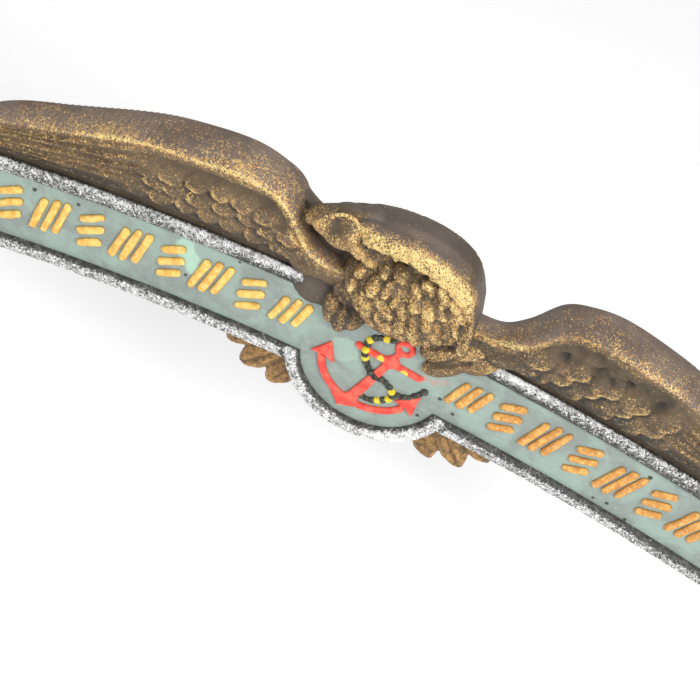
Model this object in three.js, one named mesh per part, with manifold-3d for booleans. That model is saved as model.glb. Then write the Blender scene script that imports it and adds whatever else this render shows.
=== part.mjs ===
// Cast-iron wall plaque: an eagle with spread wings stands over an arched name board,
// whose middle swells into a round medallion with a fouled anchor. It is one casting
// with a flat back, so every form below is joined into a single solid.
//
// The forms are drawn with the plaque lying on its back, in millimetres:
// x runs along it, y up it from the medallion's centre, z out from the wall.
// The finished mesh is then stood up, with its back on the plane y = 0, facing -Y.

import * as THREE from 'three';
import { mergeVertices } from 'three/addons/utils/BufferGeometryUtils.js';
import Module from 'manifold-3d';

const wasm = await Module();
wasm.setup();

// Name board: a gentle frown made of arcs round one centre far below.
const ARC_CENTRE = -930;
const BOARD_TOP_R = 961.5;
const BOARD_BOTTOM_R = 915;
const BOARD_HALF_ANGLE = THREE.MathUtils.degToRad(11.276);
const FIELD_HEIGHT = 7;
const RIM_WIDTH = 7;
const RIM_RISE = 2.7;
const RIM_CHAMFER = 1.3;
const RIM_GAP_HALF = 43;
const MEDALLION_R = 38;

// Inscription places: groups of plain strokes along the middle of the field.
const STROKE_ROW_R = 939.2;
const STROKE_FIRST_X = 39.7;
const STROKE_PITCH = 17.4;
const STROKE_GROUPS = 8;
const STROKE_RADIUS = 1.75;
const STROKE_RISE = 1.5;
const LEANING = { length: 19, lean: -0.3, apart: [5, 0.6] };
const STACKED = { length: 12.4, lean: -1.15, apart: [0, 6.4] };

// Wings: each is a bolster-like leading edge over a feathered front.
const WING_INNER_X = 24;
const WING_TIP_X = 187;
const GROOVE_WIDTH = 4.5;
const GROOVE_HEIGHT = 5;
const WING_FOOT_HEIGHT = 8.5;
const COVERT_ROWS = [0.2, 0.47, 0.74];
const COVERT_FIRST_X = 41;
const COVERT_PITCH = 9.6;
const COVERT_RADII = [4.4, 6.4, 2.3];
const FLIGHT_FEATHERS = 5;
const FLIGHT_RADII = [3.3, 33, 2.2];

// Eagle: back, breast, mantle and head, in heights above the wall.
const BACK_CENTRE = [-2.4, 46, 0];
const BACK_RADII = [30.2, 30, 17];
const BREAST_CENTRE = [0.5, 46.6, 10];
const BREAST_RADII = [25.5, 19.5, 15.5];
const HEAD_CENTRE = [-31, 66.6, 12];
const HEAD_RADII = [12, 8.6, 11.8];
const BEAK_SPINE = [[-37, 67, 14], [-42.5, 66.8, 14.5], [-46.8, 64.6, 15], [-47.6, 59.8, 15]];
const TUFT_RADII = [3.4, 6, 3];
const BREAST_FEATHER_RADII = [3.8, 5.4, 2.7];
const THIGH_RADII = [10, 11.5, 9.5];
const TOES = [[14, 23.4], [20.6, 22.4], [27, 25.2]];
const TOE_RADII = [3.5, 8.2, 5.2];
const WEB_HEIGHT = 6.5;
const MANTLE_SPINE = [[-27, 67, 13], [-14, 69, 14.5], [1, 68.5, 14.5], [13, 64, 13], [20, 55, 11]];

// Tail fan: three feathers a side show below the board.
const FAN_CENTRE = new THREE.Vector2(0, 30);
const TAIL_TIPS = [[60.4, 77], [51.4, 82], [42.2, 81.5]];
const TAIL_WIDTH = 12.4;
const TAIL_ROOT = 38;
const TAIL_THICKNESS = 5;
const TAIL_CHAMFER = 1.5;

// Anchor: a low relief on the medallion, its arms on an arc round the medallion's centre.
const ANCHOR_RISE = 1.3;
const ANCHOR_TILT = THREE.MathUtils.degToRad(-6.5);
const ARM_R = 23.3;
const ARM_HALF_ANGLE = THREE.MathUtils.degToRad(55);
const CROWN = [-5, -23.3];
const SHANK_TOP = [6.8, 13.3];
const RING_CENTRE = [8, 16.9];
const RING_R = 4.1;
const RING_HOLE_R = 1.7;
const STOCK_ENDS = [[-9.5, 8.4], [20.6, 5.6]];
const CHAIN_LINKS = 13;
const CHAIN_RUN = [
  [5, 19], [-1.5, 17.5], [-5.3, 11], [-3.6, 2.5], [3, -3], [10.5, -6.5], [10.5, -12.5], [2, -16],
];

const LONG_ARC_STEPS = 8;
const SHORT_ARC_STEPS = 4;
const CAST_IRON = new THREE.MeshStandardMaterial({ color: 0x55483a, roughness: 0.6, metalness: 0.35 });

// ---- solids from geometry ----------------------------------------------------------

function signedVolume(position, index) {
  const corners = [new THREE.Vector3(), new THREE.Vector3(), new THREE.Vector3()];
  let volume = 0;
  for (let i = 0; i < index.length; i += 3) {
    corners.forEach((corner, k) => corner.fromBufferAttribute(position, index[i + k]));
    volume += corners[0].dot(corners[1].cross(corners[2])) / 6;
  }
  return volume;
}

// A closed geometry as a solid, turned right side out where a mirror turned it inside out.
function solid(geometry) {
  geometry.deleteAttribute('normal');
  geometry.deleteAttribute('uv');
  const merged = mergeVertices(geometry, 1e-4);
  const position = merged.getAttribute('position');
  const index = Array.from(merged.getIndex().array).filter((unused, i, all) => {
    const [a, b, c] = all.slice(i - (i % 3), i - (i % 3) + 3);
    return a !== b && b !== c && c !== a;
  });
  if (signedVolume(position, index) < 0) {
    index.reverse();
  }
  return new wasm.Manifold(new wasm.Mesh({
    numProp: 3,
    vertProperties: Float32Array.from(position.array),
    triVerts: Uint32Array.from(index),
  }));
}

function join(solids) {
  return solids.reduce((whole, piece) => whole.add(piece));
}

function place(geometry, centre, turn = 0, tilt = 0) {
  geometry.rotateX(tilt);
  geometry.rotateZ(turn);
  geometry.translate(...centre);
  return geometry;
}

// A round-ended lump: feathers, toes, thighs and the eagle's masses are made of these.
function lump(centre, radii, turn = 0, tilt = 0, around = 6, down = 3) {
  const geometry = new THREE.SphereGeometry(1, around, down);
  geometry.rotateX(Math.PI / 2);
  geometry.scale(...radii);
  return solid(place(geometry, centre, turn, tilt));
}

// A cylinder's skin re-laid so that row r, column c lies at ring(r, c).
function loft(rows, columns, ring) {
  const geometry = new THREE.CylinderGeometry(1, 1, 1, columns, rows);
  const position = geometry.getAttribute('position');
  const vertex = new THREE.Vector3();
  for (let i = 0; i < position.count; i += 1) {
    vertex.fromBufferAttribute(position, i);
    const row = Math.round((vertex.y + 0.5) * rows);
    const turn = Math.atan2(vertex.x, vertex.z) / (2 * Math.PI);
    const column = (Math.round(turn * columns) + columns) % columns;
    const onAxis = Math.hypot(vertex.x, vertex.z) < 0.5;
    const target = onAxis ? ringCentre(ring, row, columns) : ring(row, column);
    position.setXYZ(i, target.x, target.y, target.z);
  }
  return solid(geometry);
}

function ringCentre(ring, row, columns) {
  const centre = new THREE.Vector3();
  for (let column = 0; column < columns; column += 1) {
    centre.addScaledVector(ring(row, column), 1 / columns);
  }
  return centre;
}

// The outline's corner points, each once and anticlockwise, with arcs cut into chords.
function corners(path, steps) {
  const points = path.getPoints(steps);
  const once = points.filter((point, i) => point.distanceTo(points[(i + 1) % points.length]) > 0.01);
  return THREE.ShapeUtils.isClockWise(once) ? once.reverse() : once;
}

// A flat plate of the outline's shape between two heights, its edges chamfered.
function plate(outline, bottom, top, chamfer, steps = SHORT_ARC_STEPS) {
  const shape = new THREE.Shape(corners(outline, steps));
  shape.holes = outline.holes.map((hole) => new THREE.Path(corners(hole, steps)));
  const geometry = new THREE.ExtrudeGeometry(shape, {
    depth: top - bottom - 2 * chamfer,
    bevelEnabled: chamfer > 0,
    bevelThickness: chamfer,
    bevelSize: chamfer,
    bevelOffset: -chamfer,
    bevelSegments: 1,
  });
  geometry.translate(0, 0, bottom + chamfer);
  return geometry;
}

// A closed tube round a spine, as wide and as high as the two girths say along it.
function swept(points, rows, columns, width, height) {
  const spine = new THREE.CatmullRomCurve3(points.map((point) => new THREE.Vector3(...point)));
  return loft(rows, columns, (row, column) => {
    const share = row / rows;
    const at = spine.getPointAt(share);
    const way = spine.getTangentAt(share);
    const angle = (2 * Math.PI * column) / columns;
    const aside = width(share) * Math.cos(angle);
    const out = height(share) * Math.sin(angle);
    return new THREE.Vector3(at.x - way.y * aside, at.y + way.x * aside, at.z + out);
  });
}

// A smooth profile through a few stations, read at any place along it.
function profile(stations) {
  const places = stations.map(([at]) => at);
  const values = stations.map(([, value]) => value);
  const curve = new THREE.CubicInterpolant(places, values, 1);
  return (at) => curve.evaluate(at)[0];
}

// ---- name board and medallion ------------------------------------------------------

// The board's outline, drawn in from its edge by the given inset.
function boardOutline(inset) {
  const top = BOARD_TOP_R - inset;
  const bottom = BOARD_BOTTOM_R + inset;
  const medallion = MEDALLION_R - inset;
  const end = BOARD_HALF_ANGLE - inset / BOARD_TOP_R;
  const meetY = (bottom ** 2 - medallion ** 2 - ARC_CENTRE ** 2) / (-2 * ARC_CENTRE);
  const meetX = Math.sqrt(medallion ** 2 - meetY ** 2);
  const boardMeet = Math.atan2(meetX, meetY - ARC_CENTRE);
  const medallionMeet = Math.atan2(meetY, meetX);
  const up = Math.PI / 2;
  const outline = new THREE.Shape();
  outline.absarc(0, ARC_CENTRE, top, up + end, up - end, true);
  outline.absarc(0, ARC_CENTRE, bottom, up - end, up - boardMeet, false);
  outline.absarc(0, 0, medallion, medallionMeet, -Math.PI - medallionMeet, true);
  outline.absarc(0, ARC_CENTRE, bottom, up + boardMeet, up + end, false);
  return outline;
}

function rimPost(side) {
  const midRadius = BOARD_TOP_R - RIM_WIDTH / 2;
  const y = ARC_CENTRE + Math.sqrt(midRadius ** 2 - RIM_GAP_HALF ** 2);
  const post = new THREE.Shape();
  post.absarc(side * RIM_GAP_HALF, y, RIM_WIDTH / 2, 0, 2 * Math.PI);
  return solid(plate(post, FIELD_HEIGHT - 3, FIELD_HEIGHT + RIM_RISE, RIM_CHAMFER));
}

// The raised rim runs round the board and medallion and stops short of the eagle's feet.
function rim() {
  const top = FIELD_HEIGHT + RIM_RISE;
  const ring = boardOutline(0);
  ring.holes.push(boardOutline(RIM_WIDTH));
  const gap = new THREE.BoxGeometry(2 * RIM_GAP_HALF, 40, 20);
  gap.translate(0, 32, FIELD_HEIGHT + 10);
  const band = solid(plate(ring, FIELD_HEIGHT - 4, top, RIM_CHAMFER, LONG_ARC_STEPS));
  return join([band.subtract(solid(gap)), rimPost(-1), rimPost(1)]);
}

function board() {
  return solid(plate(boardOutline(0), 0, FIELD_HEIGHT, 0, LONG_ARC_STEPS)).add(rim());
}

// ---- strokes in the inscription's place --------------------------------------------

function stroke(x, y, length, turn) {
  const geometry = new THREE.CapsuleGeometry(STROKE_RADIUS, length - 2 * STROKE_RADIUS, 1, 4);
  geometry.scale(1, 1, STROKE_RISE / STROKE_RADIUS);
  return solid(place(geometry, [x, y, FIELD_HEIGHT], turn));
}

// Groups alternate between three leaning strokes and three stacked slanting dashes.
function strokeGroup(side, number) {
  const x = side * (STROKE_FIRST_X + number * STROKE_PITCH);
  const y = ARC_CENTRE + Math.sqrt(STROKE_ROW_R ** 2 - x ** 2);
  const boardTurn = -x / STROKE_ROW_R;
  const group = number % 2 === 0 ? LEANING : STACKED;
  return [-1, 0, 1].map((step) => {
    const away = new THREE.Vector2(...group.apart).multiplyScalar(step);
    away.rotateAround(new THREE.Vector2(), boardTurn);
    const length = group.length - 1.2 * Math.abs(step);
    return stroke(x + away.x, y + away.y, length, group.lean + boardTurn);
  });
}

function strokes() {
  const groups = [];
  for (let number = 0; number < STROKE_GROUPS; number += 1) {
    groups.push(...strokeGroup(-1, number), ...strokeGroup(1, number));
  }
  return join(groups);
}

// ---- anchor and chain --------------------------------------------------------------

function relief(outline, chamfer = 0) {
  return plate(outline, FIELD_HEIGHT - 1, FIELD_HEIGHT + ANCHOR_RISE, chamfer);
}

function bar(from, to, width, endWidth = width) {
  const length = Math.hypot(to[0] - from[0], to[1] - from[1]);
  const outline = new THREE.Shape();
  outline.moveTo(-width / 2, 0);
  outline.lineTo(width / 2, 0);
  outline.lineTo(endWidth / 2, length);
  outline.lineTo(-endWidth / 2, length);
  const turn = Math.atan2(to[1] - from[1], to[0] - from[0]) - Math.PI / 2;
  return solid(place(relief(outline), [...from, 0], turn));
}

// The arms are thickest at the crown, between two arcs whose centres lie apart.
function arms() {
  const outline = new THREE.Shape();
  const down = -Math.PI / 2 + ANCHOR_TILT;
  outline.absarc(0, 0, ARM_R + 1.7, down - ARM_HALF_ANGLE, down + ARM_HALF_ANGLE, false);
  outline.absarc(0, 2, ARM_R - 2.8, down + ARM_HALF_ANGLE, down - ARM_HALF_ANGLE, true);
  return solid(relief(outline, 0.5));
}

// An arrow-headed fluke, pointing up from the end of an arm.
function fluke(side) {
  const angle = -Math.PI / 2 + ANCHOR_TILT + side * ARM_HALF_ANGLE;
  const outline = new THREE.Shape();
  outline.moveTo(-6, -1.5);
  outline.lineTo(0, 0.5);
  outline.lineTo(6, -1.5);
  outline.lineTo(0, 11);
  const centre = [ARM_R * Math.cos(angle), ARM_R * Math.sin(angle), 0];
  return solid(place(relief(outline), centre, side < 0 ? 0 : -0.4));
}

function anchorRing() {
  const outline = new THREE.Shape();
  outline.absarc(...RING_CENTRE, RING_R, 0, 2 * Math.PI);
  const hole = new THREE.Path();
  hole.absarc(...RING_CENTRE, RING_HOLE_R, 0, 2 * Math.PI);
  outline.holes.push(hole);
  return solid(relief(outline));
}

function stockEnd([x, y]) {
  return lump([x, y, FIELD_HEIGHT], [2.2, 2.2, ANCHOR_RISE + 0.3]);
}

// The chain leaves the ring, loops round the stock and the shank, and trails by the arms.
function chain() {
  const run = new THREE.CatmullRomCurve3(CHAIN_RUN.map(([x, y]) => new THREE.Vector3(x, y, FIELD_HEIGHT)));
  const made = [];
  for (let number = 0; number < CHAIN_LINKS; number += 1) {
    const share = (number + 0.5) / CHAIN_LINKS;
    const at = run.getPointAt(share);
    const way = run.getTangentAt(share);
    const turn = Math.atan2(way.y, way.x) - Math.PI / 2;
    made.push(lump([at.x, at.y, at.z], [1.1, 2.2, 1.2], turn));
  }
  return join(made);
}

function anchor() {
  return join([
    arms(),
    fluke(-1),
    fluke(1),
    bar(CROWN, SHANK_TOP, 4.2, 3.2),
    bar(...STOCK_ENDS, 3.2),
    ...STOCK_ENDS.map(stockEnd),
    anchorRing(),
    chain(),
  ]);
}

// ---- wings -------------------------------------------------------------------------

const wingTop = profile([
  [24, 45], [38, 46.5], [46, 54], [55, 67.5], [66, 72.5], [78, 74],
  [95, 71.5], [115, 66], [150, 50], [172, 39.5], [183, 30], [187, 20],
]);
const wingRidge = profile([
  [24, 43.5], [38, 45.5], [46, 49.5], [57, 63.5], [66, 69.5], [78, 71],
  [95, 67], [115, 62], [150, 45], [172, 34.5], [183, 26], [187, 17],
]);
const ridgeHeight = profile([
  [24, 13], [40, 14.5], [57, 17.5], [78, 19], [115, 17.5], [150, 14.5], [187, 9],
]);

function rimEdge(x) {
  return ARC_CENTRE + Math.sqrt(BOARD_TOP_R ** 2 - x ** 2);
}

// A place on the feathered front: way 0 is at the groove, way 1 on the ridge.
function wingFront(x, way) {
  const foot = rimEdge(x) + GROOVE_WIDTH + 1;
  const y = foot + way * (wingRidge(x) - foot);
  const rise = way + 0.12 * Math.sin(Math.PI * way);
  return new THREE.Vector3(x, y, WING_FOOT_HEIGHT + rise * (ridgeHeight(x) - WING_FOOT_HEIGHT));
}

function wingSection(x) {
  const edge = rimEdge(x);
  const ridge = wingRidge(x);
  const top = wingTop(x);
  const height = ridgeHeight(x);
  const front = [0, 0.33, 0.66, 0.88].map((way) => wingFront(x, way));
  const outline = [
    [edge - 3, 0],
    [edge - 3, GROOVE_HEIGHT],
    [edge + GROOVE_WIDTH, GROOVE_HEIGHT],
    ...front.map((point) => [point.y, point.z]),
    [ridge, height],
    [ridge + 0.6 * (top - ridge), height - 1.4],
    [top - 0.3, 0.7 * height],
    [top, 0.35 * height],
    [top, 0],
  ];
  return outline.map(([y, z]) => new THREE.Vector3(x, y, z));
}

function mirrored(vector, side) {
  return vector.setX(side * vector.x);
}

function wingBody(side) {
  const rows = 20;
  const length = WING_TIP_X - WING_INNER_X;
  const sections = [];
  for (let row = 0; row <= rows; row += 1) {
    const share = row / rows;
    sections.push(wingSection(WING_INNER_X + length * (0.6 * share + 0.4 * share ** 2)));
  }
  return loft(rows, sections[0].length, (row, column) => mirrored(sections[row][column].clone(), side));
}

// Short scale-like feathers in three staggered rows, their tips turned out and down.
function coverts(side) {
  const made = [];
  COVERT_ROWS.forEach((way, row) => {
    const start = COVERT_FIRST_X + [0, 0.5, 0.85][row] * COVERT_PITCH;
    for (let number = 0; number < 8 - row; number += 1) {
      const at = mirrored(wingFront(start + number * COVERT_PITCH, way), side);
      made.push(lump([at.x, at.y, at.z - 0.4], COVERT_RADII, side * 0.75, 0.22));
    }
  });
  return join(made);
}

// Long flight feathers lie along the outer half of the wing, one over the other.
function flightFeathers(side) {
  const made = [];
  for (let number = 0; number < FLIGHT_FEATHERS; number += 1) {
    const way = 0.1 + 0.19 * number;
    const x = 141 - 5 * number;
    const at = mirrored(wingFront(x, way), side);
    const slope = (wingFront(x + 20, way).y - wingFront(x - 20, way).y) / 40;
    const turn = side * (Math.atan(slope) - Math.PI / 2);
    made.push(lump([at.x, at.y, at.z - 0.9], FLIGHT_RADII, turn, 0, 6, 6));
  }
  return join(made);
}

function wing(side) {
  return join([wingBody(side), coverts(side), flightFeathers(side)]);
}

// ---- eagle -------------------------------------------------------------------------

function breastHeight(x, y) {
  const across = (x - BREAST_CENTRE[0]) / BREAST_RADII[0];
  const up = (y - BREAST_CENTRE[1]) / BREAST_RADII[1];
  return BREAST_CENTRE[2] + BREAST_RADII[2] * Math.sqrt(Math.max(0, 1 - across ** 2 - up ** 2));
}

// Clumped feathers fan down the breast from the throat.
function breastFeathers() {
  const made = [];
  for (let row = 0; row < 4; row += 1) {
    const count = 5 - (row % 2);
    for (let number = 0; number < count; number += 1) {
      const aside = number - (count - 1) / 2;
      const x = BREAST_CENTRE[0] + aside * (8.6 - 0.5 * row);
      const y = 57 - row * 6.6 + 0.5 * Math.abs(aside) ** 1.5;
      const at = [x, y, breastHeight(x, y) - 0.9];
      made.push(lump(at, BREAST_FEATHER_RADII, aside * 0.17, 0.3));
    }
  }
  return join(made);
}

// The shaggy mantle lies like a collar from the nape over to the far shoulder.
function mantle() {
  const girth = profile([[0, 6.5], [0.3, 7.6], [0.7, 7.6], [1, 5.5]]);
  const tube = swept(MANTLE_SPINE, 8, 10, girth, (share) => 1.3 * girth(share));
  const spine = new THREE.CatmullRomCurve3(MANTLE_SPINE.map((point) => new THREE.Vector3(...point)));
  const tufts = [tube];
  for (let number = 0; number < 7; number += 1) {
    const at = spine.getPointAt(0.12 + 0.125 * number);
    const turn = 0.25 * number - 0.9;
    tufts.push(lump([at.x + 1, at.y - 4, at.z + 7], TUFT_RADII, turn, 0.15));
  }
  return join(tufts);
}

// The beak leaves the face, runs to the left and hooks down.
function beak() {
  const girth = profile([[0, 5], [0.5, 4.2], [0.8, 2.6], [1, 0.5]]);
  return swept(BEAK_SPINE, 6, 8, girth, (share) => 1.3 * girth(share));
}

function head() {
  const [x, y, z] = HEAD_CENTRE;
  const skull = lump(HEAD_CENTRE, HEAD_RADII, 0.15, 0, 10, 7);
  const brow = lump([x - 5.5, y + 2.6, z + 9.3], [4.6, 1.7, 2.6], 0.2);
  const eye = lump([x - 4.4, y, z + 10.8], [1.5, 1.5, 1.5]);
  const nape = lump([x + 11, y - 1.5, z - 4], [12, 9, 14], -0.3, 0, 8, 6);
  return join([skull, beak(), brow, eye, nape]);
}

// A feathered thigh over three toes that grip the board's upper edge.
function leg(side) {
  const thigh = lump([side * 21, 35, 8], THIGH_RADII, side * 0.25, 0, 8, 5);
  const toes = TOES.map(([x, y], number) => {
    const spread = side * (number - 1) * 0.22;
    return lump([side * x, y, FIELD_HEIGHT + 1], TOE_RADII, spread);
  });
  return join([thigh, ...toes]);
}

// A thin web fills the notch between the head and the near wing.
function web() {
  const outline = new THREE.Shape();
  outline.moveTo(-20, 30);
  outline.lineTo(-20, 64);
  outline.lineTo(-43, 59.5);
  outline.quadraticCurveTo(-49, 61.5, -57, 68.5);
  outline.lineTo(-62, 30);
  return solid(plate(outline, 0, WEB_HEIGHT, 0));
}

function eagle() {
  return join([
    lump(BACK_CENTRE, BACK_RADII, 0, 0, 20, 7),
    lump(BREAST_CENTRE, BREAST_RADII, 0, 0, 14, 8),
    breastFeathers(),
    mantle(),
    head(),
    leg(-1),
    leg(1),
    web(),
  ]);
}

// ---- tail --------------------------------------------------------------------------

// One feather of the fan: round-tipped on the left, more pointed on the right.
function tailFeather(side, [angleDegrees, reach]) {
  const half = TAIL_WIDTH / 2;
  const fullness = side < 0 ? 1 : 0.35;
  const shoulder = reach - 1.1 * half;
  const outline = new THREE.Shape();
  outline.moveTo(-0.8 * half, TAIL_ROOT);
  outline.lineTo(-half, shoulder);
  outline.quadraticCurveTo(-half * fullness, reach - 0.25 * half, 0, reach);
  outline.quadraticCurveTo(half * fullness, reach - 0.25 * half, half, shoulder);
  outline.lineTo(0.8 * half, TAIL_ROOT);
  const blade = plate(outline, -TAIL_CHAMFER, TAIL_THICKNESS, TAIL_CHAMFER, 2);
  const angle = THREE.MathUtils.degToRad(angleDegrees);
  const turn = side * (Math.PI / 2 - angle) + Math.PI;
  const shaft = new THREE.SphereGeometry(1, 6, 4);
  shaft.rotateX(Math.PI / 2);
  shaft.scale(1.1, 14, 1.4);
  shaft.translate(0, reach - 15.5, TAIL_THICKNESS);
  const centre = [FAN_CENTRE.x, FAN_CENTRE.y, 0];
  return solid(place(blade, centre, turn)).add(solid(place(shaft, centre, turn)));
}

function tail() {
  return join([-1, 1].flatMap((side) => TAIL_TIPS.map((tip) => tailFeather(side, tip))));
}

// ---- the casting -------------------------------------------------------------------

// Everything joined and cut flat at the back; pockets sealed between feathers are filled.
function casting() {
  const whole = join([board(), strokes(), anchor(), wing(-1), wing(1), eagle(), tail()]);
  const shells = whole.trimByPlane([0, 0, 1], 0).decompose();
  const mesh = shells.sort((a, b) => b.volume() - a.volume())[0].getMesh();
  const geometry = new THREE.BufferGeometry();
  geometry.setAttribute('position', new THREE.BufferAttribute(mesh.vertProperties, 3));
  geometry.setIndex(new THREE.BufferAttribute(mesh.triVerts, 1));
  return geometry;
}

const plaque = new THREE.Mesh(casting(), CAST_IRON);
plaque.name = 'plaque';
plaque.rotation.x = Math.PI / 2;

const part = new THREE.Group();
part.add(plaque);

export default part;
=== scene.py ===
# A cast-iron wall plaque for a ship's cabin: an eagle with spread wings stands over an arched
# name board, whose middle swells into a round medallion with a fouled anchor. One casting with
# a flat back, painted by hand, then dry-brushed with gold on the bird and white on the rims.
import math

import bmesh
import bpy
from mathutils import Matrix, Vector, noise


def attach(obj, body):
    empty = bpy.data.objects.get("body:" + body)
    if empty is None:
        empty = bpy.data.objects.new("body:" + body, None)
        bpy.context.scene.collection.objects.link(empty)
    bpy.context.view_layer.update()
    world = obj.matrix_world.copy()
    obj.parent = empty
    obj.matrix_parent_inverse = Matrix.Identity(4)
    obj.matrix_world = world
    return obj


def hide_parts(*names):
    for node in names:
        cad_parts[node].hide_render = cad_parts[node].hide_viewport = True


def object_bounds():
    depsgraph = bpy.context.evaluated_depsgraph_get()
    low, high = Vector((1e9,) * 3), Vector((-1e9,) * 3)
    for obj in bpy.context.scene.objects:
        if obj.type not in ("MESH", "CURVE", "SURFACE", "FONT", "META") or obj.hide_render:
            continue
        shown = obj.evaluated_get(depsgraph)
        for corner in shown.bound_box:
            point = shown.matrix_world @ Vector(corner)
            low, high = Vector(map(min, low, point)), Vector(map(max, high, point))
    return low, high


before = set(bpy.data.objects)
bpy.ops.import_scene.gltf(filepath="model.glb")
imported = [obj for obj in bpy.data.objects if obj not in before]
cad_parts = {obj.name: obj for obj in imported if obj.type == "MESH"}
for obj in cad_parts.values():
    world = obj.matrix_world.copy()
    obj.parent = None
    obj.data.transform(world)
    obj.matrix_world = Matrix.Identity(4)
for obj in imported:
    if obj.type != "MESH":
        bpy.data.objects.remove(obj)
cad_low, cad_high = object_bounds()


# ---- board -------------------------------------------------------------------------------
# The name board is the casting's flat plate, a gentle frown with the medallion hanging from
# its middle. Its face is painted grey-green by brush, over an iron plate seven millimetres thick.

MM = 0.001
ARC_CENTRE = -930
BOARD_TOP_R = 961.5
BOARD_BOTTOM_R = 915
BOARD_HALF_ANGLE = math.asin(cad_high.x / MM / BOARD_TOP_R)
MEDALLION_R = 38
FIELD_HEIGHT = 7
UP = math.pi / 2


def at(x, up, out):
    """A place on the plaque: x along it, up from the medallion's centre, out from the wall."""
    return Vector((x, -out, up)) * MM


def arc(up, radius, start, end, steps):
    """Points of an arc round a centre on the plaque's middle line, its last point left out."""
    angles = [start + (end - start) * step / steps for step in range(steps)]
    return [(radius * math.cos(angle), up + radius * math.sin(angle)) for angle in angles]


def board_corner(inset):
    """Where the medallion's arc meets the board's lower arc, as an angle round each centre."""
    bottom = BOARD_BOTTOM_R + inset
    medallion = MEDALLION_R - inset
    up = (bottom ** 2 - medallion ** 2 - ARC_CENTRE ** 2) / (-2 * ARC_CENTRE)
    x = math.sqrt(medallion ** 2 - up ** 2)
    return math.atan2(x, up - ARC_CENTRE), math.atan2(up, x)


def lower_outline(inset):
    """The outline from the board's right end, round the medallion, to its left end."""
    end = BOARD_HALF_ANGLE - inset / BOARD_TOP_R
    board_meet, medallion_meet = board_corner(inset)
    bottom = BOARD_BOTTOM_R + inset
    points = arc(ARC_CENTRE, bottom, UP - end, UP - board_meet, 110)
    points += arc(0, MEDALLION_R - inset, medallion_meet, -math.pi - medallion_meet, 110)
    points += arc(ARC_CENTRE, bottom, UP + board_meet, UP + end, 110)
    return points


def slab(bm, outline, bottom, top):
    """A flat plate of the outline's shape between two heights; returns its front edges."""
    face = bm.faces.new([bm.verts.new(at(x, up, bottom)) for x, up in outline])
    front = bmesh.ops.extrude_face_region(bm, geom=[face])["geom"]
    verts = [item for item in front if isinstance(item, bmesh.types.BMVert)]
    bmesh.ops.translate(bm, verts=verts, vec=(0, -(top - bottom) * MM, 0))
    bmesh.ops.recalc_face_normals(bm, faces=bm.faces)
    return [item for item in front if isinstance(item, bmesh.types.BMEdge)]


def finish_piece(name, bm, materials, smooth=True):
    """Makes the mesh an object with its finishes, riding on the casting it stands for."""
    mesh = bpy.data.meshes.new(name)
    bm.to_mesh(mesh)
    bm.free()
    piece = bpy.data.objects.new(name, mesh)
    bpy.context.scene.collection.objects.link(piece)
    for material in materials:
        mesh.materials.append(material)
    for polygon in mesh.polygons:
        polygon.use_smooth = smooth
    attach(piece, "root")
    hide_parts("plaque")
    return piece


def new_group(name, inputs, outputs):
    """An empty shader node group with the named sockets, and its two end nodes."""
    group = bpy.data.node_groups.new(name, "ShaderNodeTree")
    for socket, kind, value in inputs:
        made = group.interface.new_socket(socket, in_out="INPUT", socket_type=kind)
        made.default_value = value
    for socket, kind in outputs:
        group.interface.new_socket(socket, in_out="OUTPUT", socket_type=kind)
    return group, group.nodes.new("NodeGroupInput"), group.nodes.new("NodeGroupOutput")


def node(tree, kind, inputs=None, **settings):
    """A node with its settings, and its inputs set to values or linked to other sockets."""
    made = tree.nodes.new(kind)
    for key, value in settings.items():
        setattr(made, key, value)
    for key, value in (inputs or {}).items():
        if isinstance(value, bpy.types.NodeSocket):
            tree.links.new(value, made.inputs[key])
        else:
            made.inputs[key].default_value = value
    return made


def math_node(tree, operation, first, second=0.0, clamp=False):
    made = node(tree, "ShaderNodeMath", {0: first, 1: second}, operation=operation)
    made.use_clamp = clamp
    return made.outputs[0]


def mix_colour(tree, factor, first, second):
    made = node(tree, "ShaderNodeMix", {0: factor, 6: first, 7: second}, data_type="RGBA")
    return made.outputs[2]


def smooth_step(tree, value, start, end):
    made = node(tree, "ShaderNodeMapRange", {0: value, 1: start, 2: end},
                interpolation_type="SMOOTHSTEP")
    return made.outputs[0]


def object_place(tree):
    return tree.nodes.new("ShaderNodeTexCoord").outputs["Object"]


def rgb(red, green, blue):
    """A colour given in the eye's 0 to 255 steps, as the shader's linear one."""
    def linear(step):
        share = step / 255
        return share / 12.92 if share <= 0.04045 else ((share + 0.055) / 1.055) ** 2.4
    return (linear(red), linear(green), linear(blue), 1.0)


def new_material(name):
    """A material, its node tree and its shader."""
    material = bpy.data.materials.new(name)
    material.use_nodes = True
    return material, material.node_tree, material.node_tree.nodes["Principled BSDF"]


def cast_grain_group():
    """The sandy skin of cast iron under paint, as a height in millimetres' tenths."""
    group, start, end = new_group(
        "cast grain",
        [("Fine", "NodeSocketFloat", 1500.0), ("Coarse", "NodeSocketFloat", 380.0)],
        [("Height", "NodeSocketFloat")],
    )
    place = object_place(group)
    fine = node(group, "ShaderNodeTexNoise",
                {"Vector": place, "Scale": start.outputs["Fine"], "Detail": 3.0, "Roughness": 0.6})
    coarse = node(group, "ShaderNodeTexNoise",
                  {"Vector": place, "Scale": start.outputs["Coarse"], "Detail": 4.0,
                   "Roughness": 0.6})
    height = math_node(group, "ADD", math_node(group, "MULTIPLY", fine.outputs[0], 0.45),
                       math_node(group, "MULTIPLY", coarse.outputs[0], 0.55))
    group.links.new(height, end.inputs["Height"])
    return group


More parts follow.
